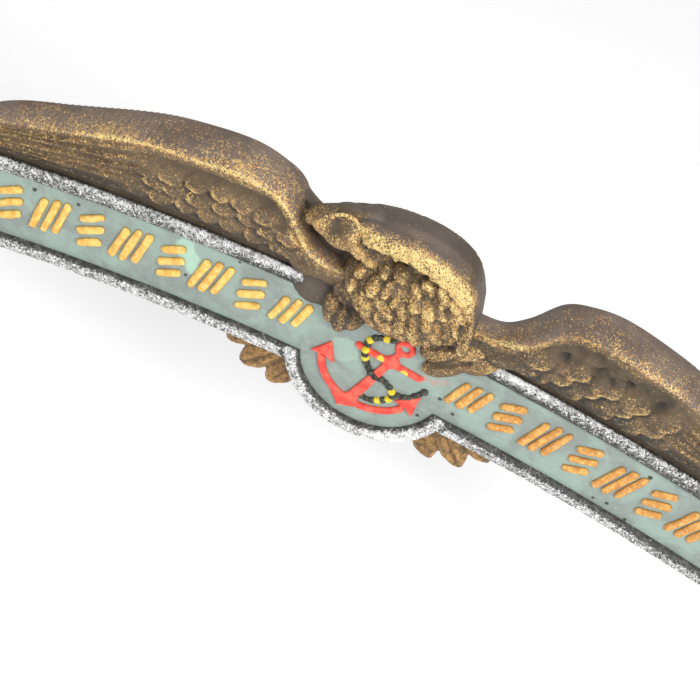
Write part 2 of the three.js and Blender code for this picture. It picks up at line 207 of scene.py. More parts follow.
def flecks_group():
    """Worm-like flecks where a nearly dry brush has touched the high grains of the casting.
    Cover goes from 0, untouched, to 1, almost solid paint."""
    group, start, end = new_group(
        "dry-brush flecks",
        [("Cover", "NodeSocketFloat", 0.5), ("Scale", "NodeSocketFloat", 900.0),
         ("Softness", "NodeSocketFloat", 0.035)],
        [("Flecks", "NodeSocketFloat"), ("Tone", "NodeSocketFloat")],
    )
    place = object_place(group)
    worms = node(group, "ShaderNodeTexNoise",
                 {"Vector": place, "Scale": start.outputs["Scale"], "Detail": 2.5,
                  "Roughness": 0.62, "Distortion": 1.1})
    drift = node(group, "ShaderNodeTexNoise",
                 {"Vector": place, "Scale": 170.0, "Detail": 3.0, "Roughness": 0.6})
    cover = math_node(group, "ADD", start.outputs["Cover"],
                      math_node(group, "MULTIPLY",
                                math_node(group, "SUBTRACT", drift.outputs[0], 0.5), 0.5))
    threshold = math_node(group, "SUBTRACT", 0.72, math_node(group, "MULTIPLY", cover, 0.42))
    low = math_node(group, "SUBTRACT", threshold, start.outputs["Softness"])
    high = math_node(group, "ADD", threshold, start.outputs["Softness"])
    flecks = smooth_step(group, worms.outputs[0], low, high)
    tone = node(group, "ShaderNodeTexNoise",
                {"Vector": place, "Scale": 420.0, "Detail": 2.0, "Roughness": 0.5})
    group.links.new(flecks, end.inputs["Flecks"])
    group.links.new(tone.outputs[0], end.inputs["Tone"])
    return group


cast_grain = cast_grain_group()
dry_brush = flecks_group()


def put_group(tree, group, inputs):
    made = tree.nodes.new("ShaderNodeGroup")
    made.node_tree = group
    for key, value in inputs.items():
        if isinstance(value, bpy.types.NodeSocket):
            tree.links.new(value, made.inputs[key])
        else:
            made.inputs[key].default_value = value
    return made


def add_bump(tree, shader, height, strength, distance):
    bump = node(tree, "ShaderNodeBump", {"Height": height, "Strength": strength,
                                         "Distance": distance})
    tree.links.new(bump.outputs[0], shader.inputs["Normal"])


def spot(tree, place, x, up, radius, edge):
    """A mask that is 1 within a ragged round spot of the plaque's face, at any height."""
    flat = node(tree, "ShaderNodeVectorMath", {0: place, 1: (1, 0, 1)}, operation="MULTIPLY")
    ragged = node(tree, "ShaderNodeTexNoise", {"Vector": place, "Scale": 260.0, "Detail": 3.0})
    away = node(tree, "ShaderNodeVectorMath", {0: flat.outputs[0], 1: at(x, up, 0)},
                operation="DISTANCE").outputs["Value"]
    shifted = math_node(tree, "ADD", away,
                        math_node(tree, "MULTIPLY", ragged.outputs[0], radius * 0.6 * MM))
    return smooth_step(tree, shifted, (radius * 1.3 + edge) * MM, (radius * 1.3 - edge) * MM)


MINT_SPOTS = [(-88.5, 14.5, 4.2, 0.85), (-85.5, 10.5, 4.4, 0.85), (-82, 5.5, 3.2, 0.85),
              (-14, 2, 6.5, 0.4), (-116, -8.5, 4, 0.25)]
PINK_SPOTS = [(20.6, 7.2, 1.1, 0.6), (24.6, 7.2, 1.8, 0.4), (28, 9.6, 1.6, 0.3)]
PAINT_SPECKS = [(-153.4, 7, 1.0), (-134.6, 10, 0.9), (-150.6, -12, 0.9), (-84.4, 1, 0.8),
                (-66, 20, 0.6), (37, -4, 0.8), (118.4, 12, 1.0), (109.5, -11.2, 0.9),
                (119.4, -15, 0.8), (103.6, -11.6, 0.7), (29.6, 0.6, 0.9), (24.7, -13, 0.8)]


def field_paint_material():
    material, tree, shader = new_material("field paint")
    place = object_place(tree)
    cloudy = node(tree, "ShaderNodeTexNoise", {"Vector": place, "Scale": 70.0, "Detail": 5.0,
                                               "Roughness": 0.6, "Distortion": 0.6})
    stretched = node(tree, "ShaderNodeMapping", {"Vector": place, "Scale": (1.0, 1.0, 3.2),
                                                 "Rotation": (0.0, 0.35, 0.0)})
    strokes = node(tree, "ShaderNodeTexNoise",
                   {"Vector": stretched.outputs[0], "Scale": 160.0, "Detail": 6.0,
                    "Roughness": 0.7})
    colour = mix_colour(tree, smooth_step(tree, cloudy.outputs[0], 0.38, 0.62),
                        rgb(140, 150, 145), rgb(154, 173, 163))
    colour = mix_colour(tree, math_node(tree, "MULTIPLY",
                                        smooth_step(tree, strokes.outputs[0], 0.52, 0.72), 0.55),
                        colour, rgb(172, 192, 180))
    dusky = smooth_step(tree, strokes.outputs[0], 0.42, 0.26)
    colour = mix_colour(tree, math_node(tree, "MULTIPLY", dusky, 0.55), colour,
                        rgb(112, 124, 122))
    for x, up, radius, amount in MINT_SPOTS:
        mask = math_node(tree, "MULTIPLY", spot(tree, place, x, up, radius, 0.8), amount)
        colour = mix_colour(tree, mask, colour, rgb(178, 214, 192))
    for x, up, radius, amount in PINK_SPOTS:
        mask = math_node(tree, "MULTIPLY", spot(tree, place, x, up, radius, 0.9), amount)
        colour = mix_colour(tree, mask, colour, rgb(214, 130, 124))
    for x, up, radius in PAINT_SPECKS:
        colour = mix_colour(tree, spot(tree, place, x, up, radius, 0.35), colour,
                            rgb(60, 66, 62))
    tree.links.new(colour, shader.inputs["Base Color"])
    shader.inputs["Roughness"].default_value = 0.62
    grain = put_group(tree, cast_grain, {"Fine": 900.0, "Coarse": 260.0})
    add_bump(tree, shader, grain.outputs["Height"], 0.35, 0.0004)
    return material


field_paint = field_paint_material()


def black_paint_material():
    """Black enamel with white dragged over it by a sponge, as heavy as the rim's attribute says."""
    material, tree, shader = new_material("rim paint")
    cover = node(tree, "ShaderNodeAttribute", attribute_name="white").outputs["Fac"]
    flecks = put_group(tree, dry_brush, {"Cover": cover, "Scale": 1050.0, "Softness": 0.13})
    grain = put_group(tree, cast_grain, {"Fine": 1300.0, "Coarse": 420.0})
    black = mix_colour(tree, smooth_step(tree, flecks.outputs["Tone"], 0.4, 0.65),
                       rgb(52, 52, 48), rgb(80, 80, 76))
    white = mix_colour(tree, smooth_step(tree, flecks.outputs["Tone"], 0.35, 0.6),
                       rgb(196, 196, 194), rgb(248, 248, 248))
    colour = mix_colour(tree, flecks.outputs["Flecks"], black, white)
    tree.links.new(colour, shader.inputs["Base Color"])
    shader.inputs["Roughness"].default_value = 0.6
    add_bump(tree, shader, grain.outputs["Height"], 0.6, 0.0005)
    return material


rim_paint = black_paint_material()


def board_outline():
    """The whole outline, clockwise from the board's upper left corner."""
    inset = 0.05
    end = BOARD_HALF_ANGLE - inset / BOARD_TOP_R
    return arc(ARC_CENTRE, BOARD_TOP_R - inset, UP + end, UP - end, 160) + lower_outline(inset)


bm = bmesh.new()
front_edges = slab(bm, board_outline(), 0, FIELD_HEIGHT)
bmesh.ops.bevel(bm, geom=front_edges, offset=0.6 * MM, segments=2, profile=0.5,
                affect="EDGES", material=-1)
for face in bm.faces:
    is_front = face.calc_center_median().y < -(FIELD_HEIGHT - 0.7) * MM
    face.material_index = 0 if is_front else 1
board = finish_piece("name_board", bm, [field_paint, rim_paint], smooth=False)


# ---- rim ---------------------------------------------------------------------------------
# A rounded bead runs round the board and the medallion as part of the casting, and stops short
# of the eagle's feet with two round ends. It is enamelled black and sponged with white.

RIM_WIDTH = 7
RIM_TOP = 9.7
RIM_BASE = 6.2
RIM_GAP_HALF = 43
RIM_FULLNESS = 0.62
SECTION_STEPS = 18


def skin(bm, columns, rows, place):
    """A sheet of quads with its point at shares (along, across) laid at place(along, across)."""
    sheet = bmesh.ops.create_grid(bm, x_segments=columns, y_segments=rows, size=0.5)
    for vertex in sheet["verts"]:
        vertex.co = place(vertex.co.x + 0.5, vertex.co.y + 0.5)
    return sheet["verts"]


def rim_section(share):
    """The bead's profile: how far in from its outer edge, and its height, at a share of it."""
    angle = math.pi * share
    side = math.copysign(abs(math.cos(angle)) ** RIM_FULLNESS, math.cos(angle))
    height = abs(math.sin(angle)) ** RIM_FULLNESS
    return RIM_WIDTH / 2 * (1 - side), RIM_BASE + (RIM_TOP - RIM_BASE) * height


def rim_rail(inset):
    """The rim's line at one inset, from the gap's right end all round to its left end."""
    radius = BOARD_TOP_R - inset
    end = BOARD_HALF_ANGLE - inset / BOARD_TOP_R
    gap = math.asin(RIM_GAP_HALF / radius)
    rail = arc(ARC_CENTRE, radius, UP - gap, UP - end, 110)
    rail += lower_outline(inset)
    rail += arc(ARC_CENTRE, radius, UP + end, UP + gap, 110)
    return rail + [(-RIM_GAP_HALF, ARC_CENTRE + math.sqrt(radius ** 2 - RIM_GAP_HALF ** 2))]


def rim_bead(bm):
    rails = {}
    for step in range(SECTION_STEPS + 1):
        inset, height = rim_section(step / SECTION_STEPS)
        rails[step] = ([at(x, up, height) for x, up in rim_rail(inset)])
    stations = len(rails[0]) - 1
    skin(bm, stations, SECTION_STEPS,
         lambda along, across: rails[round(across * SECTION_STEPS)][round(along * stations)])


def rim_end(bm, side):
    """The round end: half of the bead's profile spun half a turn about the bead's middle."""
    half = SECTION_STEPS // 2
    middle_r = BOARD_TOP_R - RIM_WIDTH / 2
    tilt = side * math.asin(RIM_GAP_HALF / middle_r)
    middle = Vector((0, 0, ARC_CENTRE * MM)) + \
        Matrix.Rotation(tilt, 3, "Y") @ Vector((0, 0, middle_r * MM))
    outward = Matrix.Rotation(tilt, 3, "Y") @ Vector((0, 0, 1))
    verts = []
    for step in range(half + 1):
        inset, height = rim_section(step / SECTION_STEPS)
        away = RIM_WIDTH / 2 - inset
        verts.append(bm.verts.new(middle + outward * away * MM + Vector((0, -height * MM, 0))))
    edges = [bm.edges.new(pair) for pair in zip(verts, verts[1:])]
    bmesh.ops.spin(bm, geom=verts + edges, cent=middle, axis=(0, 1, 0),
                   angle=-side * math.pi, steps=14)


bm = bmesh.new()
rim_bead(bm)
rim_end(bm, 1)
rim_end(bm, -1)
bmesh.ops.remove_doubles(bm, verts=bm.verts, dist=0.06 * MM)
open_edges = [edge for edge in bm.edges if edge.is_boundary]
bmesh.ops.holes_fill(bm, edges=open_edges, sides=0)
bmesh.ops.recalc_face_normals(bm, faces=bm.faces)
white = bm.verts.layers.float.new("white")
for vertex in bm.verts:
    place = vertex.co / MM
    x, up, out = place.x, place.z, -place.y
    radius = math.hypot(x, up - ARC_CENTRE)
    if out > RIM_BASE + 0.1:
        wave = noise.noise(place * 0.09) * 0.28 + noise.noise(place * 0.4) * 0.12
        vertex.co += vertex.normal * wave * MM * 0.7
    on_top = min(1, max(0, (out - FIELD_HEIGHT - 0.3) / 0.9))
    if radius > (BOARD_TOP_R + BOARD_BOTTOM_R) / 2:
        across = max(0, radius - (BOARD_TOP_R - RIM_WIDTH)) / RIM_WIDTH
        near_end = math.exp(-((abs(x) - RIM_GAP_HALF) / 22) ** 2)
        amount = 0.3 + 0.3 * across if x < 0 else 0.6 * across ** 1.1 + 0.02
        amount += 1.1 * near_end * (across - 0.58)
    else:
        from_middle = math.hypot(x, up)
        across = (BOARD_BOTTOM_R + RIM_WIDTH - radius) / RIM_WIDTH
        if from_middle < MEDALLION_R + 0.5 and up < 0:
            across = (from_middle - (MEDALLION_R - RIM_WIDTH)) / RIM_WIDTH
        inner_edge = 0.05 if x < MEDALLION_R - 12 else 0.14
        amount = (0.56 if x < MEDALLION_R else 0.5) * min(1, max(0, (across - inner_edge) * 5))
        amount -= 0.5 * max(0, across - 0.88) / 0.12
        amount += 0.3 * math.exp(-(((x - 24) / 14) ** 2 + ((up + 26) / 14) ** 2))
    vertex[white] = on_top * amount + 0.12 * noise.noise(place * 0.05)
rim = finish_piece("board_rim", bm, [rim_paint])


# ---- name strokes ------------------------------------------------------------------------
# Groups of plain raised strokes stand along the middle of each half of the field, in turn
# three leaning strokes and three slanting dashes. They are cast with the board, painted gold.

STROKE_ROW_R = 939.2
STROKE_FIRST_X = 39.7
STROKE_PITCH = 17.4
STROKE_GROUPS = 8
STROKE_RADIUS = 1.75
STROKE_RISE = 1.5
LEANING = {"length": 19.0, "lean": -0.3, "apart": (5.0, 0.6)}
STACKED = {"length": 12.4, "lean": -1.15, "apart": (0.0, 6.4)}


def stroke(bm, x, up, length, turn):
    """A round-ended bar: a ball whose halves are drawn apart, flattened on to the field."""
    ball = bmesh.ops.create_uvsphere(bm, u_segments=24, v_segments=14, radius=1)["verts"]
    for vertex in ball:
        along = vertex.co.z * STROKE_RADIUS + math.copysign(
            length / 2 - STROKE_RADIUS, vertex.co.z) * (abs(vertex.co.z) > 1e-4)
        rise = math.copysign(abs(vertex.co.y) ** 0.6, vertex.co.y) * STROKE_RISE
        local = Vector((vertex.co.x * STROKE_RADIUS, rise, along))
        ragged = noise.noise(Vector((x, up, 0)) + local * 0.45) * 0.6
        local.x += ragged + noise.noise(local * 1.1 + Vector((up, x, 3))) * 0.34
        local.z += noise.noise(local * 0.5 + Vector((7, x, up))) * 0.4
        vertex.co = local * MM
    placing = Matrix.Translation(at(x, up, FIELD_HEIGHT)) @ Matrix.Rotation(-turn, 4, "Y")
    bmesh.ops.transform(bm, matrix=placing, verts=ball)


def stroke_group(bm, side, number):
    x = side * (STROKE_FIRST_X + number * STROKE_PITCH)
    up = ARC_CENTRE + math.sqrt(STROKE_ROW_R ** 2 - x ** 2)
    board_turn = -x / STROKE_ROW_R
    kind = LEANING if number % 2 == 0 else STACKED
    for step in (-1, 0, 1):
        away = Matrix.Rotation(board_turn, 2) @ (Vector(kind["apart"]) * step)
        length = kind["length"] - 1.2 * abs(step) - (3 if number == 0 else 0)
        stroke(bm, x + away.x, up + away.y, length, kind["lean"] + board_turn)


def stroke_paint_material():
    material, tree, shader = new_material("stroke gold")
    place = object_place(tree)
    patches = node(tree, "ShaderNodeTexNoise", {"Vector": place, "Scale": 330.0, "Detail": 4.0,
                                                "Roughness": 0.6})
    fine = node(tree, "ShaderNodeTexNoise", {"Vector": place, "Scale": 1100.0, "Detail": 3.0})
    split = node(tree, "ShaderNodeSeparateXYZ", {0: place})
    along = smooth_step(tree, split.outputs["X"], -0.03, 0.06)
    light = mix_colour(tree, along, rgb(252, 214, 118), rgb(234, 176, 92))
    deep = mix_colour(tree, along, rgb(236, 180, 84), rgb(206, 140, 66))
    colour = mix_colour(tree, smooth_step(tree, patches.outputs[0], 0.4, 0.62), deep, light)
    colour = mix_colour(tree, math_node(tree, "MULTIPLY",
                                        smooth_step(tree, fine.outputs[0], 0.56, 0.7), 0.6),
                        colour, rgb(255, 232, 160))
    # painted shade: the foot of each stroke, where it meets the field, is darkened to brown
    height = math_node(tree, "MULTIPLY", split.outputs["Y"], -1.0)
    foot = smooth_step(tree, height, (FIELD_HEIGHT + 0.75) * MM, (FIELD_HEIGHT + 0.05) * MM)
    colour = mix_colour(tree, math_node(tree, "MULTIPLY", foot, 0.7), colour, rgb(98, 88, 58))
    tree.links.new(colour, shader.inputs["Base Color"])
    shader.inputs["Roughness"].default_value = 0.5
    shader.inputs["Metallic"].default_value = 0.15
    grain = put_group(tree, cast_grain, {"Fine": 1200.0, "Coarse": 500.0})
    add_bump(tree, shader, grain.outputs["Height"], 0.7, 0.0005)
    return material


stroke_gold = stroke_paint_material()
for side, name in ((-1, "left_strokes"), (1, "right_strokes")):
    bm = bmesh.new()
    for number in range(STROKE_GROUPS):
        stroke_group(bm, side, number)
    bmesh.ops.recalc_face_normals(bm, faces=bm.faces)
    finish_piece(name, bm, [stroke_gold])


# ---- anchor ------------------------------------------------------------------------------
# A low relief on the medallion, leaning a little to the right: crescent arms with arrow-headed
# flukes, a tapered shank, a straight stock and a ring. Cast with the board, painted coral red.

ANCHOR_TOP = FIELD_HEIGHT + 1.3
ANCHOR_BASE = FIELD_HEIGHT - 1.4
ANCHOR_TILT = math.radians(-10)
ARM_OUTER_R = 23.5
ARM_INNER_R = 20.4
ARM_HALF_ANGLE = math.radians(67)
CROWN = (-3.4, -21)
CROWN_POINT = [(-12, -20.5), (-6.8, -26.6), (2, -22.6), (-3, -18)]
SHANK_TOP = (6.8, 13.3)
RING_CENTRE = (8.2, 16.9)
RING_R = 3.05
RING_THICKNESS = 1.3
STOCK_ENDS = [(-9.2, 8.3), (18.6, 6.0)]
STOCK_WIDTH = 3.0
FLUKES = [[(-26, -5.2), (-20.6, -4.4), (-15.2, -6.5), (-19.7, 3.8)],
          [(13.4, -10.7), (18.8, -11.8), (22.6, -15.2), (22.4, -2.4)]]


def melt(bm, voxel, passes):
    """Forms that overlap, run together into one skin of even quads, as a mould casts them."""
    mesh = bpy.data.meshes.new("forms")
    bmesh.ops.triangulate(bm, faces=bm.faces)
    bm.to_mesh(mesh)
    bm.free()
    forms = bpy.data.objects.new("forms", mesh)
    bpy.context.scene.collection.objects.link(forms)
    remesh = forms.modifiers.new("one skin", "REMESH")
    remesh.mode = "VOXEL"
    remesh.voxel_size = voxel * MM
    remesh.adaptivity = 0.0
    evaluated = forms.evaluated_get(bpy.context.evaluated_depsgraph_get())
    skinned = bmesh.new()
    skinned.from_mesh(evaluated.to_mesh())
    evaluated.to_mesh_clear()
    bpy.data.objects.remove(forms)
    bpy.data.meshes.remove(mesh)
    for _ in range(passes):
        bmesh.ops.smooth_vert(skinned, verts=skinned.verts, factor=0.5,
                              use_axis_x=True, use_axis_y=True, use_axis_z=True)
    return skinned


def turned(points, centre, turn):
    """An outline turned anticlockwise about its own origin and carried to its centre."""
    across, along = math.cos(turn), math.sin(turn)
    return [(centre[0] + x * across - up * along, centre[1] + x * along + up * across)
            for x, up in points]


def anchor_arms(bm):
    down = -UP + ANCHOR_TILT
    outer = arc(0, ARM_OUTER_R, down - ARM_HALF_ANGLE, down + ARM_HALF_ANGLE, 44)
    inner = arc(0, ARM_INNER_R, down + ARM_HALF_ANGLE, down - ARM_HALF_ANGLE, 44)
    slab(bm, outer + inner, ANCHOR_BASE, ANCHOR_TOP)
    slab(bm, CROWN_POINT, ANCHOR_BASE, ANCHOR_TOP)


def anchor_bar(bm, start, end, width, end_width):
    length = math.dist(start, end)
    bar = [(-width / 2, 0), (width / 2, 0), (end_width / 2, length), (-end_width / 2, length)]
    turn = math.atan2(end[1] - start[1], end[0] - start[0]) - UP
    slab(bm, turned(bar, start, turn), ANCHOR_BASE, ANCHOR_TOP)


def ring(bm, centre, radius, thickness, height):
    """A round section spun a full turn about the ring's axis."""
    middle = at(*centre, height)
    section = bmesh.ops.create_circle(bm, segments=12, radius=thickness * MM)
    bmesh.ops.translate(bm, verts=section["verts"], vec=middle + Vector((radius * MM, 0, 0)))
    edges = {edge for vertex in section["verts"] for edge in vertex.link_edges}
    bmesh.ops.spin(bm, geom=section["verts"] + list(edges), cent=middle, axis=(0, 1, 0),
                   angle=2 * math.pi, steps=32, use_merge=True)
    bmesh.ops.recalc_face_normals(bm, faces=bm.faces)


def lump(bm, centre, radii, turn=0.0, tilt=0.0, around=20, down=14):
    """A ball drawn out to three radii (along x, up and out), tilted, then turned on the face."""
    ball = bmesh.ops.create_uvsphere(bm, u_segments=around, v_segments=down, radius=1)["verts"]
    sized = Matrix.Diagonal((radii[0] * MM, radii[2] * MM, radii[1] * MM, 1))
    placing = Matrix.Translation(at(*centre)) @ Matrix.Rotation(-turn, 4, "Y") @ \
        Matrix.Rotation(tilt, 4, "X") @ sized
    bmesh.ops.transform(bm, matrix=placing, verts=ball)
    return ball


bm = bmesh.new()
anchor_arms(bm)
for outline in FLUKES:
    slab(bm, outline, ANCHOR_BASE, ANCHOR_TOP)
anchor_bar(bm, CROWN, SHANK_TOP, 5.2, 2.6)
anchor_bar(bm, *STOCK_ENDS, STOCK_WIDTH, STOCK_WIDTH)
for x, up in STOCK_ENDS:
    lump(bm, (x, up, FIELD_HEIGHT - 0.1), (1.7, 1.7, 1.4))
lump(bm, (5.5, 7.2, FIELD_HEIGHT - 0.1), (3.6, 3.6, 1.7))
ring(bm, RING_CENTRE, RING_R, RING_THICKNESS, FIELD_HEIGHT)
bm = melt(bm, 0.32, 3)
for vertex in bm.verts:
    place = vertex.co / MM
    vertex.co += vertex.normal * MM * (0.12 * noise.noise(place * 0.5)
                                       + 0.08 * noise.noise(place * 1.4))


def anchor_paint_material():
    material, tree, shader = new_material("anchor red")
    place = object_place(tree)
    patches = node(tree, "ShaderNodeTexNoise", {"Vector": place, "Scale": 240.0, "Detail": 4.0})
    colour = mix_colour(tree, smooth_step(tree, patches.outputs[0], 0.38, 0.62),
                        rgb(232, 66, 52), rgb(252, 104, 84))
    for x, up in ((1.0, 7.3), (12.0, 5.7)):
        colour = mix_colour(tree, spot(tree, place, x, up, 1.6, 0.25), colour,
                            rgb(246, 208, 60))
    # painted shade: the anchor's foot, where it meets the medallion, is darkened
    split = node(tree, "ShaderNodeSeparateXYZ", {0: place})
    height = math_node(tree, "MULTIPLY", split.outputs["Y"], -1.0)
    foot = smooth_step(tree, height, (FIELD_HEIGHT + 0.5) * MM, (FIELD_HEIGHT + 0.05) * MM)
    colour = mix_colour(tree, math_node(tree, "MULTIPLY", foot, 0.6), colour, rgb(150, 70, 62))
    tree.links.new(colour, shader.inputs["Base Color"])
    shader.inputs["Roughness"].default_value = 0.5
    grain = put_group(tree, cast_grain, {"Fine": 1200.0, "Coarse": 450.0})
    add_bump(tree, shader, grain.outputs["Height"], 0.5, 0.0004)
    return material


anchor = finish_piece("anchor", bm, [anchor_paint_material()])


# ---- chain -------------------------------------------------------------------------------
# The anchor's chain leaves the ring, loops over the stock and the shank and trails by the arms.
# Its small links are cast with the anchor, painted black, with some picked out in yellow.

CHAIN_RUN = [(3.6, 18.6), (-0.8, 17.4), (-4, 15.8), (-6, 13), (-6, 8.4), (-5, 4), (-3.2, 0.8),
             (-1, -1.4), (1.8, -3), (5.4, -3.6), (8.5, -5), (11.2, -7.6), (12, -10.4),
             (10, -12.9), (6.8, -15.5), (3.2, -16.9), (-0.2, -16.4)]
CHAIN_SPUR = [(12.8, -7.6), (15.4, -7.4), (18, -6.4), (20.4, -3.6), (23, 0.8)]
CHAIN_CROSSINGS = [(-6, 7.6), (1, -2.4)]
LINK_LENGTH = 2.5
YELLOW_PLACES = [(-0.8, 17.6), (-5.4, 13.6), (-6.1, 7.4), (-4.4, 2.8), (10.6, -6.6),
                 (10.4, -12.2), (7, -15.2)]


def smooth_run(points, share):
    """A place on the smooth curve through the points, at a share of the way along them."""
    count = len(points) - 1
    span = min(int(share * count), count - 1)
    way = share * count - span
    before = points[max(span - 1, 0)]
    after = points[min(span + 2, count)]
    corners = [Vector(point) for point in (before, points[span], points[span + 1], after)]
    cubic = (corners[1] * 3 - corners[0] - corners[2] * 3 + corners[3]) * way ** 3
    square = (corners[0] * 2 - corners[1] * 5 + corners[2] * 4 - corners[3]) * way ** 2
    line = (corners[2] - corners[0]) * way
    return corners[1] + (cubic + square + line) * 0.5


def even_run(points, pitch):
    """Places a pitch apart along the smooth curve, each with the curve's direction there."""
    fine = [smooth_run(points, step / 400) for step in range(401)]
    places = []
    walked = pitch / 2
    for start, end in zip(fine, fine[1:]):
        walked += (end - start).length
        if walked >= pitch:
            walked -= pitch
            places.append((end, (end - start).normalized()))
    return places


def chain_links(bm, run):
    for number, (place, way) in enumerate(even_run(run, LINK_LENGTH)):
        faces_before = len(bm.faces)
        yellow = any((place - Vector(spot_at)).length < LINK_LENGTH * 0.55
                     for spot_at in YELLOW_PLACES)
        size = (1.65, 1.75, 1.5) if yellow else (1.4 + 0.2 * (number % 2), 1.75, 1.3)
        nearest = min((place - Vector(crossing)).length for crossing in CHAIN_CROSSINGS)
        over = 1.2 * math.exp(-(nearest / 3) ** 2)
        lump(bm, (place.x, place.y, FIELD_HEIGHT + 0.15 + over), size,
             math.atan2(way.y, way.x) - UP + 0.5 * (number % 2), around=16, down=10)
        bm.faces.ensure_lookup_table()
        for face in bm.faces[faces_before:]:
            face.material_index = 1 if yellow else 0


def plain_paint_material(name, dark, light, roughness):
    material, tree, shader = new_material(name)
    place = object_place(tree)
    patches = node(tree, "ShaderNodeTexNoise", {"Vector": place, "Scale": 500.0, "Detail": 3.0})
    colour = mix_colour(tree, smooth_step(tree, patches.outputs[0], 0.38, 0.62), dark, light)
    tree.links.new(colour, shader.inputs["Base Color"])
    shader.inputs["Roughness"].default_value = roughness
    grain = put_group(tree, cast_grain, {"Fine": 1300.0, "Coarse": 500.0})
    add_bump(tree, shader, grain.outputs["Height"], 0.5, 0.0004)
    return material


chain_black = plain_paint_material("chain black", rgb(38, 40, 34), rgb(74, 76, 62), 0.45)
chain_yellow = plain_paint_material("chain yellow", rgb(222, 196, 30), rgb(250, 226, 60), 0.45)
bm = bmesh.new()
chain_links(bm, CHAIN_RUN)
chain_links(bm, CHAIN_SPUR)
for vertex in bm.verts:
    vertex.co += vertex.normal * MM * 0.25 * noise.noise(vertex.co / MM * 0.8)
bmesh.ops.recalc_face_normals(bm, faces=bm.faces)
chain = finish_piece("chain", bm, [chain_black, chain_yellow])


# ---- wings -------------------------------------------------------------------------------
# Each wing is cast with the board: a smooth bolster for its leading edge, three rows of scale-
# like feathers near the wrist and long flight feathers to the tip. Bronze brown, gold-brushed,
# with painted shade in its groove, gaps, pits and hollow.

WING_INNER_X = 24
WING_TIP_X = (cad_high.x - 0.001) / MM
GROOVE_WIDTH = 3.4
ROOT_DROP = 4
WING_BACK = 0.12
GROOVE_HEIGHT = 6.6
WING_FOOT_HEIGHT = 8.5
WING_TOP = [(24, 45), (38, 46.5), (46, 54), (55, 67.5), (66, 72.5), (78, 74), (95, 71.5),
            (115, 66), (150, 50), (172, 39.5), (183, 30), (187, 20)]
WING_RIDGE = {
    -1: [(24, 42.5), (31, 42.3), (37, 43), (42, 45.4), (47, 50.6), (57, 63), (66, 67.6), (78, 68.5),
         (95, 65.8), (115, 61.4), (150, 45), (172, 34.5), (183, 26), (187, 17)],
    1: [(24, 45.4), (33, 46.4), (41, 47.2), (47, 49.8), (52, 55), (57, 62.5), (62, 67), (69, 69.8),
        (78, 70.4), (95, 67), (115, 62), (150, 45), (172, 34.5), (183, 26), (187, 17)],
}
RIDGE_HEIGHT = [(24, 13), (40, 14.5), (57, 17.5), (78, 19), (115, 17.5), (150, 14.5), (187, 9)]
COVERTS_BY_SIDE = {
    -1: {"rows": [0.22, 0.45, 0.69], "first": 43, "pitch": 10, "radii": (5.0, 6.4), "rise": 1.9},
    1: {"rows": [0.14, 0.34, 0.55], "first": 44, "pitch": 13.6, "radii": (6.6, 6.6), "rise": 2.1},
}
COVERT_TURN = 0.75
PITS = [(64, 57, 2.6), (78, 59, 2.4), (83.5, 57, 2.2), (90, 58.5, 2.0), (104, 55.5, 2.4)]
FLIGHT_FEATHERS = 6
FLIGHT_START_X = 107
RIDGE_STATION = 6
FINISH_LAYERS = ("gilding", "wall", "wash_and_shade")
MOST_GOLD = 0.64


def profile(stations, x):
    """The smooth curve through a few stations, read at x."""
    last = len(stations) - 2
    span = 0
    while span < last and x > stations[span + 1][0]:
        span += 1
    x0, y0 = stations[span]
    x1, y1 = stations[span + 1]

    def slope(index):
        low = stations[max(index - 1, 0)]
        high = stations[min(index + 1, len(stations) - 1)]
        return (high[1] - low[1]) / (high[0] - low[0])

    width = x1 - x0
    share = (x - x0) / width
    rise0, rise1 = slope(span) * width, slope(span + 1) * width
    return ((2 * share ** 3 - 3 * share ** 2 + 1) * y0 + (share ** 3 - 2 * share ** 2 + share) * rise0
            + (3 * share ** 2 - 2 * share ** 3) * y1 + (share ** 3 - share ** 2) * rise1)


def ease(value, start, end):
    share = min(1, max(0, (value - start) / (end - start)))
    return share * share * (3 - 2 * share)


def wing_foot(x):
    """Where the feathered front starts, just above the groove, and lower at the wing's root."""
    root_drop = ROOT_DROP * (1 - ease(x, 38, 54))
    return ARC_CENTRE + math.sqrt(BOARD_TOP_R ** 2 - x ** 2) + GROOVE_WIDTH + 1 - root_drop


def wing_front(side, x, way):
    """A place on the feathered front, from the groove (way 0) to the ridge (way 1)."""
    foot = wing_foot(x)
    rise = way + 0.12 * math.sin(math.pi * way)
    height = WING_FOOT_HEIGHT + rise * (profile(RIDGE_HEIGHT, x) - WING_FOOT_HEIGHT)
    return foot + way * (profile(WING_RIDGE[side], x) - foot), height


def wing_section(side, x):
    """The wing's profile at x: the groove, the front, the ridge, and back to the wall."""
    foot = wing_foot(x)
    ridge = profile(WING_RIDGE[side], x)
    top = profile(WING_TOP, x)
    height = profile(RIDGE_HEIGHT, x)
    groove = [(foot - 7.5, GROOVE_HEIGHT), (foot - 1.2, GROOVE_HEIGHT)]
    front = [wing_front(side, x, way) for way in (0, 0.3, 0.6, 0.86)]
    back = [(ridge, height), (ridge + 0.6 * (top - ridge), height - 1.4),
            (top - 0.3, 0.7 * height), (top, 0.35 * height), (top, 0)]
    return [(0, up, out) for up, out in groove + front + back]


def covert_list(side):
    """Centre and seed of every short feather of one wing, as on the right."""
    kind = COVERTS_BY_SIDE[side]
    feathers = []
    for row, way in enumerate(kind["rows"]):
        start = kind["first"] + (0, 0.5, 0.85)[row] * kind["pitch"]
        for number in range(9):
            x = start + number * kind["pitch"]
            if x < FLIGHT_START_X + 14:
                stray = 0.8 * math.sin(number * 4.7 + row * 2)
                feathers.append((x + stray, wing_front(side, x, way)[0] - stray, row + number * 3))
    return feathers


COVERTS = {side: covert_list(side) for side in COVERTS_BY_SIDE}


